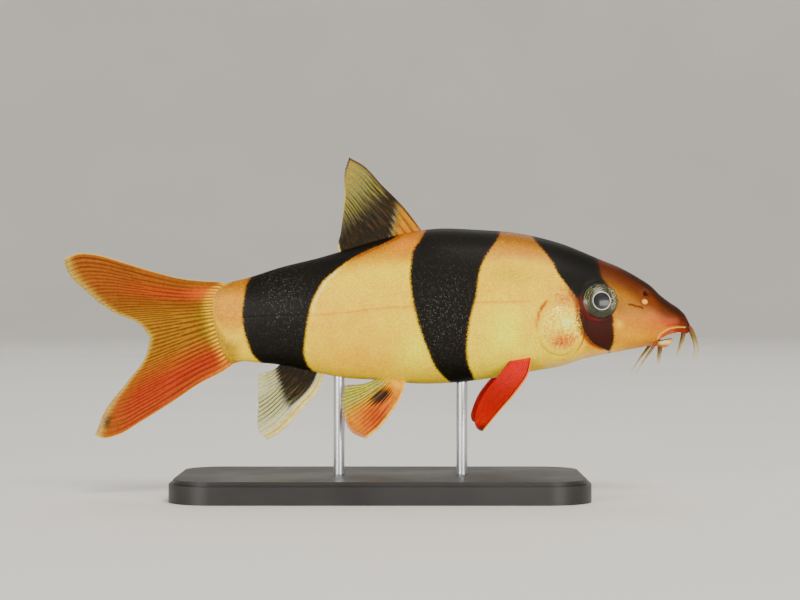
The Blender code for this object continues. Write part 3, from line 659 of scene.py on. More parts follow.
def relief(points):
    """How far the skin stands out from the body's plain form, for points of the left side."""
    s, z = points[:, 0], points[:, 2]
    rise = np.zeros(len(points))

    share, back, up = gill_share(s, z)
    free_edge = 0.25 + 0.75 * step(back - 0.35 * up, -0.5, 0.4)
    inside = step(share, 1.0, 0.955)
    rise += free_edge * inside * (0.2 + 0.16 * (1.0 - np.minimum(share, 1.0) ** 2))
    rise -= free_edge * 0.2 * bell(share, 1.03, 0.03)
    front_arc = step(back, 0.1, -0.5) * step(np.abs(up + 0.1), 0.95, 0.6)
    rise += front_arc * (0.09 * bell(share, 1.3, 0.1) - 0.09 * bell(share, 1.13, 0.05))

    socket = eye_share(points)
    rise -= 1.0 * step(socket, 0.9, 0.7)
    rise += 0.1 * bell(socket, 1.08, 0.1)

    pit, flap = nostril_distances(s, z)
    rise -= 0.5 * bell(pit, 0.0, 0.3)
    rise += 0.2 * bell(pit, 0.58, 0.2)
    rise += 0.26 * step(flap, 1.15, 0.55)
    slit = distance_to_path(points[:, [0, 2]], UNDER_EYE_SLIT)
    rise -= 0.14 * bell(slit, 0.0, 0.1)

    to_upper, to_lower, lip_line = lip_distances(points)
    rise += 0.3 * bell(to_upper, 0.0, 0.34, 4) + 0.32 * bell(to_lower, 0.0, 0.4, 4)
    rise += 0.12 * bell(lip_line, 0.0, 0.16)
    rise -= 0.1 * bell(lip_line, 0.42, 0.14) * step(s, 6.9, 5.6) * step(z, -5.4, -4.6)

    rise -= 0.035 * bell(z, smooth(LATERAL_LINE, s), 0.16) * step(s, 26.5, 29.0)

    for name in ("pectoral_fin", "pelvic_fin"):
        root = fin_edges(FINS[name])[2]
        rise += 0.35 * bell(distance_to_path(points, root), 0.0, 1.1)
    for knots in BARBELS.values():
        root = along(knots, np.linspace(0.0, 0.2, 6))
        rise += 0.24 * bell(distance_to_path(points, root), 0.0, 0.55)
    return rise


def grid_normals(rings):
    """Outward directions of a grid of points down the left side."""
    normals = unit(np.cross(np.gradient(rings, axis=1), np.gradient(rings, axis=0)))
    normals *= np.sign(np.sum(normals[:, HALF_RING // 2, 1]))
    normals[:, (0, -1), 1] = 0.0
    return normals


def make_mouth_cutter():
    """A bar through the head whose outline is the gape between the lips."""
    count = len(MOUTH_EDGE)
    points = [(s, y, z) for y in (-MOUTH_BAR, MOUTH_BAR) for s, z in MOUTH_EDGE]
    faces = grid_faces(2, count) + [range(count), range(count, 2 * count)]
    return make_piece("mouth_cutter", points, faces, shade_smooth=False)


def make_skin():
    rings = half_rings(skin_stations())
    rise = relief(rings.reshape(-1, 3)).reshape(rings.shape[:2])
    left = rings + grid_normals(rings) * rise[:, :, None]
    left[:, (0, -1), 1] = 0.0
    right = left[:, -2:0:-1] * (1.0, -1.0, 1.0)
    whole = np.concatenate([left, right], axis=1)
    rows, columns = whole.shape[:2]
    faces = grid_faces(rows, columns)
    faces += [range(columns), range((rows - 1) * columns, rows * columns)]
    skin = make_piece("skin", whole.reshape(-1, 3), faces)

    cutter = make_mouth_cutter()
    cut = skin.modifiers.new("mouth", "BOOLEAN")
    cut.operation = "DIFFERENCE"
    cut.object = cutter
    graph = bpy.context.evaluated_depsgraph_get()
    result = bpy.data.meshes.new_from_object(skin.evaluated_get(graph))
    skin.modifiers.clear()
    skin.data = result
    skin.data.name = "skin"
    bpy.data.objects.remove(cutter, do_unlink=True)
    skin.data.shade_smooth()
    skin.data.set_sharp_from_angle(angle=SKIN_CREASE)
    paint_skin(skin)
    return skin


def band_depth(s, z):
    """How deep inside a black band a point of the flank is, in millimetres; negative outside."""
    bands = (
        (HEAD_BAND_FRONT, HEAD_BAND_REAR), (MIDDLE_BAND_FRONT, MIDDLE_BAND_REAR),
        (REAR_BAND_FRONT, REAR_BAND_REAR),
    )
    inside = [np.minimum(s - smooth(front, z), smooth(rear, z) - s) for front, rear in bands]
    return np.maximum(np.max(inside, axis=0), -FAR)


def paint_flank(s, z, height):
    """The gold of the flank: orange on the back, pale along the middle as a painted highlight, bright yellow
    low down with spots of painted glow, and a painted highlight along the end of the flesh.
    """
    short_of_end = smooth(FLESH_END, z) - s
    ray_roots = 0.5 + 0.5 * np.cos((z - 3.7) * 2.0 * math.pi * TAIL_RAYS / TAIL_ROOT_HEIGHT)
    line = bell(z, smooth(LATERAL_LINE, s), 0.2)
    return painted(
        colour("F2D24A"),
        ("F8DC3A", step(height, 0.42, 0.15)),
        ("CC9A18", step(height, 0.76, 0.88)),
        ("92640A", step(height, 0.88, 0.98)),
        *[(code, strength * spot(s, z, centre, radii)) for code, strength, centre, radii in FLANK_SPOTS_AND_PAINTED_LIGHT],
        ("DAA23C", 0.85 * step(s, 78.5, 81.0) * step(height, 0.3, 0.5)),
        ("A87A1C", 0.8 * step(s, 78.5, 80.5) * step(height, 0.8, 0.97)),
        ("B09410", 0.9 * step(s, 79.5, 82.5) * step(height, 0.34, 0.15)),
        # A pale line along the end of the flesh: a painted highlight on the rim where the flesh meets the
        # tail fin.
        ("F6E6A4", 0.3 * bell(short_of_end, 0.3, 0.45)),
        ("9C7418", 0.7 * ray_roots**2 * step(short_of_end, 2.6, 0.3)),
        ("C89A20", 0.6 * step(short_of_end, 0.9, 0.0)),
        ("D98A30", 0.45 * line * step(s, 28.0, 31.0)),
    )


def paint_head(tint, points, height):
    """Brown over the forehead and along the ridge of the snout, orange on its tip, gold on the cheek."""
    s, z = points[:, 0], points[:, 2]
    below_ridge = smooth(BACK, s) - z
    ahead = step(s, 20.0, 16.5)
    pit, flap = nostril_distances(s, z)
    slit = distance_to_path(points[:, [0, 2]], UNDER_EYE_SLIT)
    throat = step(s, 8.0, 15.0) * step(s, 30.0, 25.0) * step(height, 0.16, 0.03)
    return painted(
        tint,
        ("B0841E", ahead),
        ("D29A2C", 0.9 * ahead * step(z, 0.8, -1.6)),
        ("F0C664", 0.6 * spot(s, z, (11.0, -4.6), (5.0, 1.4))),
        ("D07C1C", 0.9 * spot(s, z, (4.4, -1.4), (3.6, 2.4))),
        ("6C4010", ahead * step(below_ridge, 5.4, 2.3)),
        ("80480E", 0.7 * spot(s, z, (7.6, 1.9), (1.9, 1.9))),
        ("5A3010", ahead * step(below_ridge, 2.7, 1.0)),
        ("2C1A0E", step(s, 14.0, 9.5) * step(below_ridge, 1.5, 0.4)),
        ("3C2210", 0.7 * step(s, 8.0, 5.0) * step(below_ridge, 2.2, 1.2)),
        ("CA661A", 0.8 * spot(s, z, (3.4, -2.2), (2.0, 0.8))),
        ("5C2A10", 0.85 * spot(s, z, (1.2, -1.9), (1.2, 0.7))),
        # Dark in the nostril's pit: painted shade in the hollow.
        ("3C180C", bell(pit, 0.0, 0.42)),
        ("7A3812", 0.6 * step(flap, 1.7, 1.1)),
        ("EDC488", step(flap, 1.1, 0.7)),
        ("F4DA8C", 0.9 * spot(s, z, (13.0, -2.6), (0.8, 0.8))),
        # Dark along the groove under the eye: painted shade in the groove.
        ("4E2410", 0.85 * bell(slit, 0.0, 0.13)),
        ("F8D8A8", 0.85 * throat),
    )


def paint_opercle(tint, s, z):
    """The glittering plate of the gill cover, with its red slit behind, rusty patches, and a painted shadow
    under its free rear edge.
    """
    share, back, up = gill_share(s, z)
    egg = oval(s, z, OPERCLE_EGG, OPERCLE_RADII)
    slit = step(share, 0.93, 0.99) * step(share, 1.08, 1.02) * step(back, 0.2, 0.6) * step(up, 0.0, 0.4)
    arc = bell(share, 1.13, 0.04) * step(back, 0.0, -0.5) * step(up, -0.95, -0.6)
    return painted(
        tint,
        ("F6D870", 0.9 * step(egg, 1.05, 0.8)),
        ("FFF8B8", 0.95 * spot(s, z, (22.4, -2.3), (1.5, 1.6))),
        ("DC7A20", 0.95 * step(egg, 1.05, 0.75) * spot(s, z, (23.0, -5.6), (2.6, 1.3))),
        ("D49A30", 0.8 * spot(s, z, (22.7, 2.0), (2.0, 1.6))),
        ("A83A12", 0.85 * slit * step(up, 0.95, 0.8)),
        # A darker line just outside the cover's rear edge: a painted shadow under its free edge.
        ("C88C1C", 0.55 * bell(share, 1.03, 0.025) * step(back, 0.2, 0.7)),
        ("FBE24A", 0.85 * step(share, 0.93, 0.99) * step(share, 1.2, 1.05) * step(up, 0.3, -0.4)),
        ("B0641E", 0.8 * arc * step(up, 0.75, 0.4)),
    )


def paint_mouth(tint, points):
    """A pale line over the upper lip, deep red under it as a painted shadow of the lip, the mouth's own red
    inside darkened by painted shade, and a pale lower lip.
    """
    s, side, z = points[:, 0], np.abs(points[:, 1]), points[:, 2]
    to_upper, to_lower, lip_line = lip_distances(np.stack([s, side, z], axis=1))
    inner = step(surface_y(s, z) - side, 0.35, 0.7) * step(s, 6.4, 6.2) * step(z, -6.6, -6.2)
    return painted(
        tint,
        # Deep red under the upper lip: a painted shadow cast by the lip over the mouth.
        ("8E3010", 0.85 * bell(to_upper, 0.0, 0.55) * step(lip_line, 0.1, 0.35)),
        ("F2C49A", 0.95 * bell(lip_line, 0.0, 0.15)),
        ("F0E6D0", 0.95 * bell(to_lower, 0.0, 0.7, 4)),
        # Dark red inside the mouth: the mouth's own red, darkened as painted shade.
        ("6E2410", inner * step(z, -3.3, -3.9)),
    )


def paint_skin(skin):
    points = piece_points(skin)
    s, z = points[:, 0], points[:, 2]
    top, bottom = smooth(BACK, s), smooth(BELLY, s)
    height = np.clip((z - bottom) / np.maximum(top - bottom, 0.1), 0.0, 1.0)
    tint = paint_head(paint_flank(s, z, height), points, height)
    tint = paint_mouth(paint_opercle(tint, s, z), points)

    depth = band_depth(s, z)
    socket = eye_share(points)
    fringe = step(s, 60.0, 64.0) * step(s, 72.0, 70.0) * bell(depth, -0.5, 0.45)
    rust = step(s, 50.0, 52.5) * step(s, 64.0, 60.0) * step(z, 8.0, 10.0) * bell(depth, -0.5, 0.7)
    head_rim = step(s, 24.5, 22.5) * step(z, 4.5, 2.5) * bell(depth, -0.3, 0.5)
    tint = painted(
        tint,
        ("F2E9CC", 0.8 * fringe * step(z, -3.5, 0.5)),
        ("9A5418", 0.7 * rust),
        ("7A3018", 0.75 * head_rim * step(s, 15.0, 16.5)),
        ("4A1A10", 0.8 * step(socket, 1.2, 1.04) * step(s, 15.5, 17.5)),
    )
    band_tint = painted(
        colour("100E09"),
        ("3A1A12", step(s, 23.0, 20.5) * step(z, 0.8, -1.2)),
        ("2C1A12", 0.8 * step(depth, 0.9, 0.1)),
        ("66200F", 0.8 * step(socket, 1.3, 1.08) * step(s, 15.2, 17.4) * step(z, 3.6, 1.6)),
    )
    store_tint(skin, "tint", tint)
    store_tint(skin, "band_tint", band_tint)

    # Where the bands show painted glints and a grey painted sheen, most in the middle of the middle and rear
    # bands.
    glitter = 0.12 + 0.9 * spot(s, z, (44.0, -1.0), (6.0, 7.0)) + 0.9 * spot(s, z, (72.5, 1.5), (4.5, 6.0))
    plate = step(oval(s, z, OPERCLE_EGG, OPERCLE_RADII), 1.1, 0.85)
    above = spot(s, z, (22.9, 3.0), (2.0, 1.8)) * step(depth, 0.2, -0.4)
    bare = 1.0 - 0.75 * spot(s, z, (23.0, -5.6), (2.4, 1.2))
    rusty = 0.25 + 0.75 * spot(s, z, (23.0, -5.2), (3.0, 1.6)) + 0.6 * spot(s, z, (24.6, -1.0), (1.0, 1.0))
    store_numbers(
        skin, band=depth,
        glitter=np.clip(glitter * step(s, 22.0, 30.0), 0.0, 1.0),
        gold=np.clip(plate * bare + 0.35 * above, 0.0, 1.0),
        rusty=np.clip(plate * rusty + 0.9 * above, 0.0, 1.0),
        flank=step(s, 16.0, 24.0) * (0.4 + 0.6 * step(height, 0.9, 0.7)),
    )


def skin_material():
    """Wet skin with tiny scales: grainy gold with fine painted glints, between sooty bands with a painted
    glitter and a grey painted sheen.
    """
    shader = Shader("wet_skin")
    fade, times, plus = shader.fade, shader.times, shader.plus
    flank, glitter = shader.number("flank"), shader.number("glitter")
    scale_edge, scale_chance = shader.cells(3.6)
    grain = shader.noise(3.4, 3.0, roughness=0.6)
    fine = shader.noise(8.0, 2.0)
    fleck = times(fade(shader.noise(3.2, 4.0, roughness=0.7), 0.5, 0.58), shader.number("gold"))
    brown = times(fade(shader.noise(2.3, 4.0, roughness=0.7), 0.5, 0.6), shader.number("rusty"))
    lit = shader.layers(
        shader.tint("tint"),
        (fade(shader.noise(0.4, 3.0), 0.35, 0.7, 0.0, 0.14), "D08A20", "MULTIPLY"),
        (fade(scale_edge, 0.3, 0.7, 0.0, 0.14), "A86414", "MULTIPLY"),
        (fade(grain, 0.58, 0.42, 0.0, 0.22), "B06A14", "MULTIPLY"),
        (times(fade(scale_chance, 0.45, 1.0, 0.0, 0.2), flank), "FFEA70"),
        # Fine bright specks over the flank: painted glints.
        (times(fade(fine, 0.62, 0.72, 0.0, 0.35), flank), "FFF2A0"),
        (times(fleck, 0.75), "FFF4A8"),
        (times(brown, 0.8), "B4481A"),
    )

    # On the bands, bright specks are painted glints and a grey mottle is a painted sheen, both where the
    # glitter share is high.
    spark_edge, spark_chance = shader.cells(6.0)
    spark = times(fade(spark_chance, 0.8, 1.0), fade(spark_edge, 0.42, 0.16), glitter, 0.6)
    grey_sheen = times(fade(shader.noise(2.0, 5.0, roughness=0.7), 0.48, 0.72, 0.0, 0.22), glitter)
    band = shader.layers(shader.tint("band_tint"), (grey_sheen, "6C6A60"), (spark, "C8C4B4"))
    ragged = plus(fade(grain, 0.25, 0.75, -0.17, 0.17), fade(fine, 0.2, 0.8, -0.2, 0.2))
    soot = fade(plus(shader.number("band"), ragged), -0.26, 0.28)

    scales = shader.bump(scale_edge, 0.3, 0.025)
    shader.set(
        Base_Color=shader.mix(soot, lit, band), Metallic=times(fleck, 0.35),
        Roughness=plus(fade(grain, 0.2, 0.8, 0.34, 0.48), times(soot, 0.12)),
        Normal=shader.bump(shader.noise(1.1, 3.0), 0.2, 0.1, scales),
        Subsurface_Weight=0.12, Subsurface_Scale=0.0012, Subsurface_Radius=(1.0, 0.45, 0.1),
        Specular_IOR_Level=0.12, Coat_Weight=0.03, Coat_Roughness=0.2,
    )
    return shader.material


def make_eye(name, side):
    """One eye: a shallow dome whose colour rings are painted by distance from the pupil."""
    points = [(0.0, 1.0, 0.0)]
    for ring in range(1, EYE_RINGS):
        tilt = math.pi * ring / EYE_RINGS
        wide, outward = math.sin(tilt), math.cos(tilt)
        for turn in range(EYE_SIDES):
            angle = 2.0 * math.pi * turn / EYE_SIDES
            points.append((wide * math.cos(angle), outward, wide * math.sin(angle)))
    last = len(points)
    points = np.array(points + [(0.0, -1.0, 0.0)]) * EYE_RADII
    faces = grid_faces(EYE_RINGS - 1, EYE_SIDES, start=1)
    faces += fan_faces(0, 1, EYE_SIDES) + fan_faces(last, last - EYE_SIDES, EYE_SIDES)
    eye = make_piece(name, (points @ eye_turn() + EYE_CENTRE) * (1.0, side, 1.0), faces)
    rearward, upward = points[:, 0], points[:, 2]
    store_numbers(
        eye, rearward=rearward, upward=upward,
        from_pupil=np.hypot(rearward - PUPIL_SHIFT[0], upward - PUPIL_SHIFT[1]),
        rim=np.hypot(rearward / EYE_RADII[0], upward / EYE_RADII[2]),
    )
    return eye


def eye_material():
    """A black pupil in a silver ring, and a dark iris with olive arcs behind and gold flecks in front."""
    shader = Shader("wet_eye")
    fade, times, plus = shader.fade, shader.times, shader.plus
    radius = shader.number("from_pupil")
    rearward, upward = shader.number("rearward"), shader.number("upward")
    fine = shader.noise(5.0, 4.0, roughness=0.7)
    wobble = fade(shader.noise(1.3, 3.0), 0.2, 0.8, -0.2, 0.2)
    in_iris = times(fade(radius, 1.72, 1.85), fade(radius, 3.3, 3.1))

    waves = shader.math("SINE", times(plus(radius, wobble), 14.5))
    behind = fade(plus(rearward, times(upward, 1.1)), 0.2, 2.4, 0.06, 0.48)
    arcs = times(fade(waves, 0.1, 0.9), behind, fade(fine, 0.3, 0.6, 0.5, 1.0), in_iris)
    ahead = times(fade(rearward, -1.2, -2.2), fade(upward, -2.2, -1.0))
    flecks = times(fade(fine, 0.5, 0.6), ahead, in_iris, 0.75)
    behind_low = times(fade(rearward, 1.8, 2.8), fade(upward, 0.6, -1.0))
    rusty = times(fade(fine, 0.45, 0.6), behind_low, 0.6)
    iris = shader.layers(
        "1F2018", (fade(fine, 0.35, 0.7), "3C3D2E"), (arcs, "A8A67E"), (flecks, "DCD2B4"), (rusty, "8A5A38"),
    )

    pupil = fade(plus(radius, times(wobble, 0.2)), 1.5, 1.53)
    silver = times(fade(radius, 1.49, 1.54), fade(radius, 1.69, 1.63))
    shown = shader.layers(
        shader.mix(pupil, "020305", iris),
        (times(silver, 0.85), "D4D8D0"),
        (fade(shader.number("rim"), 0.92, 0.98), "180D09"),
    )
    shader.set(
        Base_Color=shown, Metallic=times(silver, 0.3), Roughness=0.35, Specular_IOR_Level=0.3,
        Coat_Weight=0.35, Coat_Roughness=0.06, Normal=shader.bump(times(fine, in_iris), 0.2, 0.05),
    )
    return shader.material


def ray_height(across, out, rays, forks):
    """1 along the crest of each ray and 0 between them; a ray splits in two at each fork."""
    local = (across * rays) % 1.0 - 0.5
    crests = [np.zeros_like(local)]
    room = np.full_like(local, 0.5)
    for fork in forks:
        apart = step(out, fork, fork + 0.3)
        crests = [crest + way * 0.5 * room * apart for crest in crests for way in (-1.0, 1.0)]
        room = room * (1.0 - 0.5 * apart)
    nearest = np.min([np.abs(local - crest) for crest in crests], axis=0)
    return step(nearest / room, 0.85, 0.1)


def fin_patch(fin, rows, columns):
    """Points of a fin's middle sheet as rows along the rays and columns across them."""
    out, across = np.linspace(0.0, 1.0, rows), np.linspace(0.0, 1.0, columns)
    leading, trailing, root, margin = fin_edges(fin)
    leading, trailing = along(leading, out), along(trailing, out)
    root, margin = along(root, across), along(margin, across)
    u, v = across[None, :, None], out[:, None, None]
    straight = (1 - v) * root[None] + v * margin[None]
    leading_bow = leading[:, None] - (1 - v) * root[0] - v * margin[0]
    trailing_bow = trailing[:, None] - (1 - v) * root[-1] - v * margin[-1]
    return straight + (1 - u) ** 2 * leading_bow + u**2 * trailing_bow


def fin_sheet(fin, seed):
    """A fin's sheet with its share across and out and its ray heights; its margin is ragged."""
    rays, forks = fin["rays"], fin["forks"]
    rows, columns = FIN_ROWS, rays * COLUMNS_PER_RAY + 1
    sheet = fin_patch(fin, rows, columns)
    out, across = np.meshgrid(np.linspace(0.0, 1.0, rows), np.linspace(0.0, 1.0, columns), indexing="ij")
    height = ray_height(across, out, rays, forks)
    count = rays * 2 ** len(forks)
    lengths = np.random.default_rng(seed).uniform(0.0, 0.8, count)
    own = lengths[np.minimum((across * count).astype(int), count - 1)]
    ends = np.sin(math.pi * np.clip(across, 0.0, 1.0)) ** 0.3
    drawn_in = MARGIN_NOTCH * (1.0 - height + own) * ends * out**14
    return sheet - unit(np.gradient(sheet, axis=0)) * drawn_in[:, :, None], across, out, height


def fin_thickness(across, out, height):
    """Half the thickness: a ray's or the membrane's, more at the root and less at the edges."""
    half = MEMBRANE + RAY * height * (1.0 - 0.65 * out) + FIN_ROOT * bell(out, 0.0, 0.09)
    edge = np.minimum(np.minimum(across, 1.0 - across), 1.0 - out) / THIN_EDGE
    return half * (0.35 + 0.65 * np.clip(edge, 0.0, 1.0))


def fin_solid(name, sheet, half):
    """A closed thin fin of both faces of the sheet, joined round its edge."""
    rows, columns = sheet.shape[:2]
    offset = unit(np.cross(np.gradient(sheet, axis=0), np.gradient(sheet, axis=1))) * half[:, :, None]
    other = rows * columns
    faces = grid_faces(rows, columns, closed=False) + grid_faces(rows, columns, closed=False, start=other)
    border = [
        *range(columns), *range(2 * columns - 1, other, columns),
        *range(other - 2, other - columns - 1, -1), *range(other - 2 * columns, 0, -columns),
    ]
    for here, after in zip(border, border[1:] + border[:1]):
        faces.append((here, after, after + other, here + other))
    return make_piece(name, np.stack([sheet + offset, sheet - offset]).reshape(-1, 3), faces)


def finish_fin(name, sheet, paint, across, out, height, rays, side=1.0):
    """Thickens and paints a fin's sheet; what its material reads is the same on both faces."""
    s, z = sheet[:, :, 0].ravel(), sheet[:, :, 2].ravel()
    tint, opacity = paint(s, z, across.ravel(), out.ravel(), height.ravel())
    fin = fin_solid(name, sheet * (1.0, side, 1.0), fin_thickness(across, out, height))
    store_tint(fin, "tint", np.tile(tint, (2, 1)))
    numbers = dict(opacity=opacity, ray=height, out=out, streaks=across * rays)
    store_numbers(fin, **{key: np.tile(values.ravel(), 2) for key, values in numbers.items()})
    return fin


def paint_dorsal(s, z, across, out, height):
    past_black = ((s - 54.6) * 5.8 + (z - 21.6) * 6.7) / 8.86
    streak = 1.1 * np.sin(across * 67.0) + 0.9 * np.sin(across * 151.0 + 1.0)
    behind_front = s + 0.18 * (z - 13.0) + 0.3 * np.sin(across * 97.0) + 0.22 * np.sin(across * 223.0)
    black = step(past_black - 0.6 * streak, 2.2, -1.8) * step(behind_front, 52.4, 54.5)
    faint = 0.85 * step(past_black - streak, 6.5, 0.5) * step(behind_front, 52.8, 55.0)
    soot = np.maximum(black, faint * step(height, 0.85, 0.1))
    front = step(behind_front, 54.6, 52.4) * step(z, 24.0, 18.0)
    edge = bell(across, 0.014, 0.01) * step(out, 0.05, 0.25)
    dark = np.maximum(edge, step(out, 0.975, 0.995) * step(across, 0.35, 0.1))
    tint = painted(
        colour("A09C20"),
        ("B49A18", 0.7 * step(out, 0.8, 1.0) * step(across, 0.6, 0.2)),
        ("BE941E", 0.95 * front),
        ("D8981C", 0.6 * front * step(z, 17.0, 13.5)),
        ("8A5C14", 0.7 * front * step(height, 0.4, 0.0)),
        ("EFE6C4", 0.85 * spot(behind_front, z, (53.5, 16.0), (0.5, 2.4))),
        ("211D13", soot),
        ("7A776A", 0.35 * spot(s, z, (56.0, 17.5), (2.2, 2.6)) * step(height, 0.4, 0.9)),
        ("35200F", 0.85 * dark),
        ("EBD668", 0.8 * step(out, 0.95, 0.99) * step(across, 0.3, 0.5)),
        ("F4F0B0", 0.9 * step(across, 0.955, 0.985) * step(out, 0.75, 0.5)),
    )
    return tint, np.max([0.5 + 0.3 * height, front, soot, 0.95 * dark], axis=0)


def paint_caudal(s, z, lobe, out, height):
    """The tail fin by its share across both lobes, 0 at the upper edge and 1 at the lower."""
    beyond = s - smooth(FLESH_END, z)
    olive = step(np.abs(lobe - 0.47), 0.36, 0.24) * step(beyond, 4.2, 1.2)
    rim = step(out, 0.925, 0.985)
    tint = painted(
        colour("8E6C08"),
        ("8A600C", step(lobe, 0.42, 0.24)),
        ("B0500A", 0.9 * bell(lobe, 0.16, 0.06) * step(out, 1.0, 0.35)),
        ("AC5A06", step(lobe, 0.56, 0.72)),
        ("AE4204", 0.9 * bell(lobe, 0.86, 0.09) * step(out, 0.02, 0.2)),
        ("B0900C", 0.7 * height * step(np.abs(lobe - 0.52), 0.34, 0.1)),
        ("BC7018", 0.4 * height * step(np.abs(lobe - 0.5), 0.2, 0.36)),
        ("6A3008", 0.55 * step(height, 0.42, 0.08) * step(out, 0.02, 0.12) * step(out, 1.0, 0.9)),
        ("8A6418", 0.8 * step(lobe, 0.09, 0.03) * step(out, 0.45, 0.15)),
        ("E0962A", 0.7 * step(lobe, 0.92, 1.0) * step(out, 0.5, 0.1)),
        ("9C6A08", 0.6 * step(lobe, 0.6, 0.7) * step(out, 0.78, 0.94)),
        ("DE7E0A", 0.75 * spot(s, z, (87.0, 2.9), (3.0, 1.5))),
        ("6E6A1C", 0.65 * olive * step(height, 0.9, 0.3)),
        ("F0CC58", step(beyond, 2.4, 0.2) * (0.25 + 0.75 * height) * step(lobe, 1.0, 0.9)),
        ("D8CC86", 0.85 * rim * (0.35 + 0.65 * height)),
        ("F0DCA0", 0.8 * np.maximum(step(lobe, 0.008, 0.002), step(lobe, 0.992, 0.998))),
        ("3A2A18", 0.8 * spot(lobe, out, (0.93, 0.955), (0.025, 0.02))),
    )
    return tint, 1.0 - 0.5 * rim * (1.0 - 0.6 * height)


def paint_anal(s, z, across, out, height):
    streak = 0.8 * np.sin(across * 83.0) + 0.5 * np.sin(across * 190.0)
    rear_limit = 74.6 - 0.28 * (-10.0 - z)
    black = step(z + streak, -19.5, -15.5) * step(s + 0.4 * streak, rear_limit + 0.9, rear_limit - 0.9)
    black *= step(across, 0.1, 0.17)
    lines = step(height, 0.5, 0.1)
    faint = 0.7 * step(z + streak, -22.5, -17.5) * step(across, 0.12, 0.3) * step(across, 0.8, 0.5) * lines
    rear = 0.45 * lines * step(across, 0.5, 0.7) * step(out, 0.98, 0.7)
    soot = np.max([black, faint, rear], axis=0)
    cream = step(across, 0.13, 0.09)
    tint = painted(
        colour("D2D48C"),
        ("201D14", soot),
        ("B8B48A", 0.35 * black * step(height, 0.85, 1.0) * step(z, -12.0, -15.0)),
        ("EFE6B4", cream),
        ("B8A868", 0.5 * cream * bell(across, 0.065, 0.015)),
    )
    return tint, np.max([0.14 + 0.56 * height**2, soot, 0.95 * cream], axis=0)


def paint_pelvic(s, z, across, out, height):
    front = step(across, 0.74, 0.4)
    low = spot(s, z, (56.0, -19.0), (2.6, 3.2))
    root = step(out, 0.32, 0.1)
    along_spot = (s - 55.5) * 0.85 - (z + 15.4) * 0.53
    across_spot = (s - 55.5) * 0.53 + (z + 15.4) * 0.85
    ragged = 0.3 * np.sin(across * 110.0) * step(out, 0.1, 0.3)
    black = step(np.hypot(along_spot / 2.2, across_spot / 1.15) + ragged, 1.15, 0.65)
    tint = painted(
        colour("A2AC32"),
        ("CA8C0A", front),
        ("A45200", 0.95 * front * low),
        ("E89A10", 0.5 * front * height * step(out, 0.2, 0.4)),
        ("A8440C", 0.75 * front * low * step(height, 0.45, 0.05)),
        ("F6C430", root),
        ("2A1810", black),
        ("F4DCA0", 0.85 * step(across, 0.05, 0.02)),
        ("F4E6B0", 0.6 * height * step(across, 0.3, 0.6)),
    )
    opacity = np.max([0.3 + 0.5 * height**2, front, root, black], axis=0)
    return tint, opacity * (1.0 - 0.45 * step(out, 0.9, 1.0))


def paint_pectoral(s, z, across, out, height):
    tint = painted(
        colour("D02404"),
        ("DE2800", 0.9 * step(out, 0.45, 0.15)),
        ("EC7A14", step(out, 0.13, 0.03)),
        ("B01604", 0.9 * bell(out, 0.62, 0.2)),
        ("C8581A", 0.75 * step(across, 0.66, 1.0)),
        ("7C1606", 0.5 * step(height, 0.45, 0.05) * step(out, 0.05, 0.2)),
        ("2A0E08", 0.85 * step(out, 0.9, 1.0) * step(across, 0.45, 0.05)),
        ("5A1A0A", 0.7 * bell(across, 0.07, 0.016)),
        ("F2C08A", 0.8 * step(across, 0.05, 0.02)),
    )
    return tint, 1.0 - 0.5 * step(across, 0.88, 1.0) - 0.2 * step(out, 0.95, 1.0)


def fin_material():
    """Clear membrane stiffened by jointed rays; how clear it is comes from the fin's own paint."""
    shader = Shader("rayed_membrane")
    fade, times, plus = shader.fade, shader.times, shader.plus
    ray, out = shader.number("ray"), shader.number("out")
    mottle = shader.noise(1.6, 4.0)
    fine = shader.noise(6.0, 3.0, roughness=0.7)
    lengthwise = shader.node("CombineXYZ", {0: times(shader.number("streaks"), 3.0), 1: out}).outputs[0]
    streaks = shader.noise(4.0, 4.0, lengthwise, roughness=0.65)
    joints = shader.math("SINE", plus(times(out, 230.0), fade(mottle, 0.2, 0.8, -4.0, 4.0)))
    tint = shader.layers(
        shader.tint("tint"),
        (fade(mottle, 0.4, 0.7, 0.0, 0.3), "B4621A", "MULTIPLY"),
        (fade(streaks, 0.5, 0.36, 0.0, 0.42), "7A3008", "MULTIPLY"),
        (fade(streaks, 0.55, 0.72, 0.0, 0.2), "F0B040"),
        (fade(fine, 0.62, 0.75, 0.0, 0.1), "FFD070"),
        (times(fade(joints, 0.4, 1.0), ray, 0.12), "8A4A18", "MULTIPLY"),
    )
    shader.set(
        Base_Color=tint, Alpha=shader.number("opacity"), Roughness=fade(fine, 0.3, 0.7, 0.36, 0.5),
        Normal=shader.bump(plus(ray, times(streaks, 0.6)), 0.2, 0.03),
        Subsurface_Weight=0.15, Subsurface_Scale=0.0005, Subsurface_Radius=(1.0, 0.4, 0.1),
        Specular_IOR_Level=0.12, Coat_Weight=0.03, Coat_Roughness=0.2,
    )
    return shader.material


def make_fin(name, fin, paint, seed, side=1.0):
    sheet, across, out, height = fin_sheet(fin, seed)
    return finish_fin(name, sheet, paint, across, out, height, fin["rays"], side)


def make_caudal():
    """Both lobes as one fin, so that no line parts them between the flesh and the fork."""
    upper, across_upper, out, height_upper = fin_sheet(FINS["caudal_fin_upper"], SEED + 1)
    lower, across_lower, _, height_lower = fin_sheet(FINS["caudal_fin_lower"], SEED + 2)
    sheet = np.concatenate([upper, lower[:, 1:]], axis=1)
    lobe = np.concatenate([across_upper * 0.5, 0.5 + across_lower[:, 1:] * 0.5], axis=1)
    height = np.concatenate([height_upper, height_lower[:, 1:]], axis=1)
    out = np.repeat(out[:, :1], sheet.shape[1], axis=1)
    wave = TAIL_WAVE * np.sin(lobe * 9.0) * out**2
    sheet = sheet + wave[:, :, None] * (0.0, 1.0, 0.0)
    rays = 2 * FINS["caudal_fin_upper"]["rays"]
    return finish_fin("caudal_fin", sheet, paint_caudal, lobe, out, height, rays)


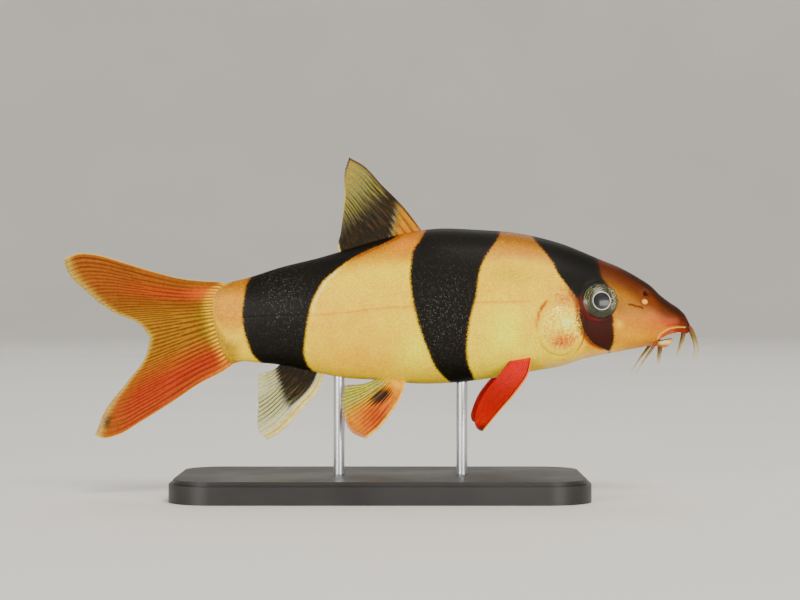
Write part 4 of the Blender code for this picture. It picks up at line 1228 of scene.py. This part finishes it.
def make_tube(name, path, radii, sides):
    """A round tapered tube along (S, Y, Z) points, with domed ends, and each point's share of its length."""
    heading = unit(np.gradient(path, axis=0))
    side = np.cross(heading[0], (0.3, 0.1, 1.0))
    points = []
    for centre, forward, radius in zip(path, heading, radii):
        side = side - forward * side.dot(forward)
        side /= np.linalg.norm(side)
        other = np.cross(forward, side)
        for turn in range(sides):
            angle = 2.0 * math.pi * turn / sides
            points.append(centre + radius * (math.cos(angle) * side + math.sin(angle) * other))
    tip = len(points)
    points.append(path[0] - heading[0] * radii[0] * 0.6)
    points.append(path[-1] + heading[-1] * radii[-1] * 0.8)
    faces = grid_faces(len(path), sides) + fan_faces(tip, 0, sides) + fan_faces(tip + 1, tip - sides, sides)
    shares = np.append(np.repeat(np.arange(len(path)) / (len(path) - 1), sides), (0.0, 1.0))
    return make_piece(name, np.array(points), faces), shares


def make_barbel(name, knots, side):
    share = np.linspace(0.0, 1.0, BARBEL_RINGS)
    path = along(knots, share) * (1.0, side, 1.0)
    radii = BARBEL_ROOT_RADIUS + (BARBEL_TIP_RADIUS - BARBEL_ROOT_RADIUS) * share**0.8
    radii *= 1.0 + 0.03 * np.sin(share * 70.0)
    barbel, shares = make_tube(name, path, radii, BARBEL_SIDES)
    offset = piece_points(barbel) - smooth(np.column_stack([share, path]), shares)
    upper = (offset[:, 2] - offset[:, 0]) / np.maximum(np.linalg.norm(offset, axis=1), 0.01)
    store_numbers(barbel, share=shares, upper=upper * np.clip(1.0 - 1.6 * shares, 0.0, 1.0))
    return barbel


def barbel_material():
    """Soft, half clear feelers: brown at the root, pale olive towards the tip."""
    shader = Shader("soft_barbel")
    share = shader.number("share")
    stops = (0.16, "8A3E16"), (0.28, "8E5E34"), (0.42, "8A7C48"), (0.6, "ACA274"), (1.0, "D8D0B0")
    mottle = shader.noise(2.4, 4.0)
    tint = shader.layers(
        shader.ramp(share, stops),
        (shader.fade(mottle, 0.45, 0.65, 0.0, 0.3), "7A6A3C", "MULTIPLY"),
        (shader.fade(shader.number("upper"), 0.3, 1.0, 0.0, 0.45), "4E3A1C"),
    )
    shader.set(
        Base_Color=tint, Roughness=shader.fade(mottle, 0.3, 0.7, 0.3, 0.45),
        Alpha=shader.fade(share, 0.1, 1.0, 1.0, 0.7), Subsurface_Weight=0.3, Subsurface_Scale=0.0005,
        Coat_Weight=0.2, Coat_Roughness=0.15, Normal=shader.bump(mottle, 0.2, 0.05), Specular_IOR_Level=0.3,
    )
    return shader.material


def make_base():
    """The stand's base with finely rounded corners and edges."""
    half_length, half_width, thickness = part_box("stand_base")[1]
    radius = BASE_CORNER_RADIUS * MM
    edit = bmesh.new()
    corners = []
    for first, (x_side, y_side) in enumerate(((1, 1), (-1, 1), (-1, -1), (1, -1))):
        for turn in range(ARC_STEPS + 1):
            angle = math.pi / 2 * (first + turn / ARC_STEPS)
            x = x_side * (half_length - radius) + radius * math.cos(angle)
            y = y_side * (half_width - radius) + radius * math.sin(angle)
            corners.append(edit.verts.new((x, y, 0.0)))
    bottom = edit.faces.new(corners)
    raised = bmesh.ops.extrude_face_region(edit, geom=[bottom])
    lifted = [item for item in raised["geom"] if isinstance(item, bmesh.types.BMVert)]
    bmesh.ops.translate(edit, verts=lifted, vec=(0.0, 0.0, thickness))
    rim = [edge for edge in edit.edges if all(vertex in lifted for vertex in edge.verts)]
    bmesh.ops.bevel(edit, geom=rim, offset=BASE_EDGE_ROUNDING * MM, segments=BASE_EDGE_STEPS, affect="EDGES")
    bmesh.ops.recalc_face_normals(edit, faces=edit.faces)
    mesh = bpy.data.meshes.new("display_base")
    edit.to_mesh(mesh)
    edit.free()
    mesh.shade_smooth()
    mesh.set_sharp_from_angle(angle=BASE_CREASE)
    return add_object("display_base", mesh)


def base_material():
    shader = Shader("satin_black_base")
    cloud = shader.noise(0.06, 3.0)
    shader.set(
        Base_Color=shader.mix(shader.fade(cloud, 0.3, 0.7), "201F1F", "2B2A29"),
        Roughness=shader.fade(cloud, 0.3, 0.7, 0.36, 0.5),
        Normal=shader.bump(shader.noise(2.5, 5.0), 0.25, 0.03),
    )
    return shader.material


def make_rod(name):
    """A rod from inside the base to inside the belly, where the solid's own box says."""
    low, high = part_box(name)
    middle_s = SNOUT_X - (low[0] + high[0]) / 2 / MM
    foot = low[2] / MM - AXIS_HEIGHT - ROD_FOOT
    head = high[2] / MM - AXIS_HEIGHT + ROD_SINK
    path = np.array([(middle_s, 0.0, z) for z in np.linspace(foot, head, ROD_RINGS)])
    radii = np.full(ROD_RINGS, ROD_RADIUS)
    return make_tube(name.replace("stand", "display"), path, radii, ROD_SIDES)[0]


def rod_material():
    shader = Shader("brushed_steel_rod")
    brushed = shader.noise(3.0, 3.0, shader.scaled(shader.in_mm, (1.0, 1.0, 14.0)))
    shader.set(
        Base_Color=shader.mix(shader.fade(brushed, 0.3, 0.7), "BFC1C4", "D6D8DA"), Metallic=1.0,
        Roughness=shader.fade(brushed, 0.3, 0.7, 0.24, 0.38), Normal=shader.bump(brushed, 0.15, 0.02),
    )
    return shader.material


def dress(piece, material, slot, *nodes):
    """Gives a piece its material and its body, and hides the nodes it stands for; the slot is not used."""
    piece.data.materials.clear()
    piece.data.materials.append(material)
    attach(piece, "root")
    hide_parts(*nodes)


def make_fish():
    skin_nodes = ("head", "torso", "tail", "gill_cover_left", "gill_cover_right")
    dress(make_skin(), skin_material(), "skin", *skin_nodes)
    wet_eye, membrane, soft = eye_material(), fin_material(), barbel_material()
    for name, paint, seed in (("dorsal_fin", paint_dorsal, SEED + 3), ("anal_fin", paint_anal, SEED + 4)):
        fin = make_fin(name + "_rayed", FINS[name], paint, seed)
        dress(fin, membrane, "dark_fin", name)
    dress(make_caudal(), membrane, "red_fin", "caudal_fin_upper", "caudal_fin_lower")
    for suffix, side in (("_left", 1.0), ("_right", -1.0)):
        dress(make_eye("eyeball" + suffix, side), wet_eye, "eye", "eye" + suffix)
        for name, paint, seed in (("pelvic", paint_pelvic, SEED + 5), ("pectoral", paint_pectoral, SEED + 6)):
            fin = make_fin(name + "_rayed" + suffix, FINS[name + "_fin"], paint, seed, side)
            dress(fin, membrane, "red_fin", name + "_fin" + suffix)
        for name, knots in BARBELS.items():
            barbel = make_barbel("feeler_" + name + suffix, knots, side)
            dress(barbel, soft, "barbel", "barbel_" + name + suffix)


def make_stand():
    dress(make_base(), base_material(), "stand_base", "stand_base")
    steel = rod_material()
    for name in ("stand_rod_front", "stand_rod_rear"):
        dress(make_rod(name), steel, "stand_rod", name)


def make_floor():
    """A wide pale floor whose rim turns up softly all round, as a backdrop for every view."""
    profile = [(share * FLOOR_RADIUS, 0.0) for share in (1 / 6, 1 / 3, 1 / 2, 1)]
    for turn in range(1, ARC_STEPS + 1):
        angle = math.pi / 2 * turn / ARC_STEPS
        profile.append((FLOOR_RADIUS + RIM_TURN * math.sin(angle), RIM_TURN * (1.0 - math.cos(angle))))
    profile.append((FLOOR_RADIUS + RIM_TURN, RIM_HEIGHT))
    points = [(0.0, 0.0, 0.0)]
    for radius, height in profile:
        for turn in range(FLOOR_SIDES):
            angle = 2.0 * math.pi * turn / FLOOR_SIDES
            points.append((radius * math.cos(angle), radius * math.sin(angle), height))
    faces = fan_faces(0, 1, FLOOR_SIDES)
    faces += [face[::-1] for face in grid_faces(len(profile), FLOOR_SIDES, start=1)]
    mesh = bpy.data.meshes.new("studio_floor")
    mesh.from_pydata(points, [], faces)
    mesh.shade_smooth()
    shader = Shader("pale_floor")
    tint = shader.mix(shader.fade(shader.noise(0.004, 2.0), 0.3, 0.7), "F0EEEA", "ECEAE6")
    shader.set(Base_Color=tint, Roughness=0.6)
    mesh.materials.append(shader.material)
    add_object("studio_floor", mesh)


def add_lights():
    world = bpy.data.worlds.new("studio")
    bpy.context.scene.world = world
    world.use_nodes = True
    background = world.node_tree.nodes["Background"]
    background.inputs["Color"].default_value = SKY_COLOUR
    background.inputs["Strength"].default_value = SKY_STRENGTH
    for name, position, size, power, warmth in LAMPS:
        data = bpy.data.lights.new(name, "AREA")
        data.shape = "RECTANGLE"
        data.size, data.size_y = size
        data.energy = power
        data.color = warmth
        light = add_object(name, data)
        light.visible_camera = False
        light.location = position
        light.rotation_euler = (Vector(LAMPS_AIM) - Vector(position)).to_track_quat("-Z", "Y").to_euler()


def add_camera():
    data = bpy.data.cameras.new("photo_view")
    data.lens = CAMERA_LENS
    data.clip_end = CAMERA_REACH
    camera = add_object("photo_view", data)
    camera.location = place([(CAMERA_S, -CAMERA_DISTANCE, CAMERA_Z)])[0]
    camera.rotation_euler = (math.pi / 2, 0.0, 0.0)
    bpy.context.scene.camera = camera


add_camera()
make_fish()
make_stand()
make_floor()
add_lights()
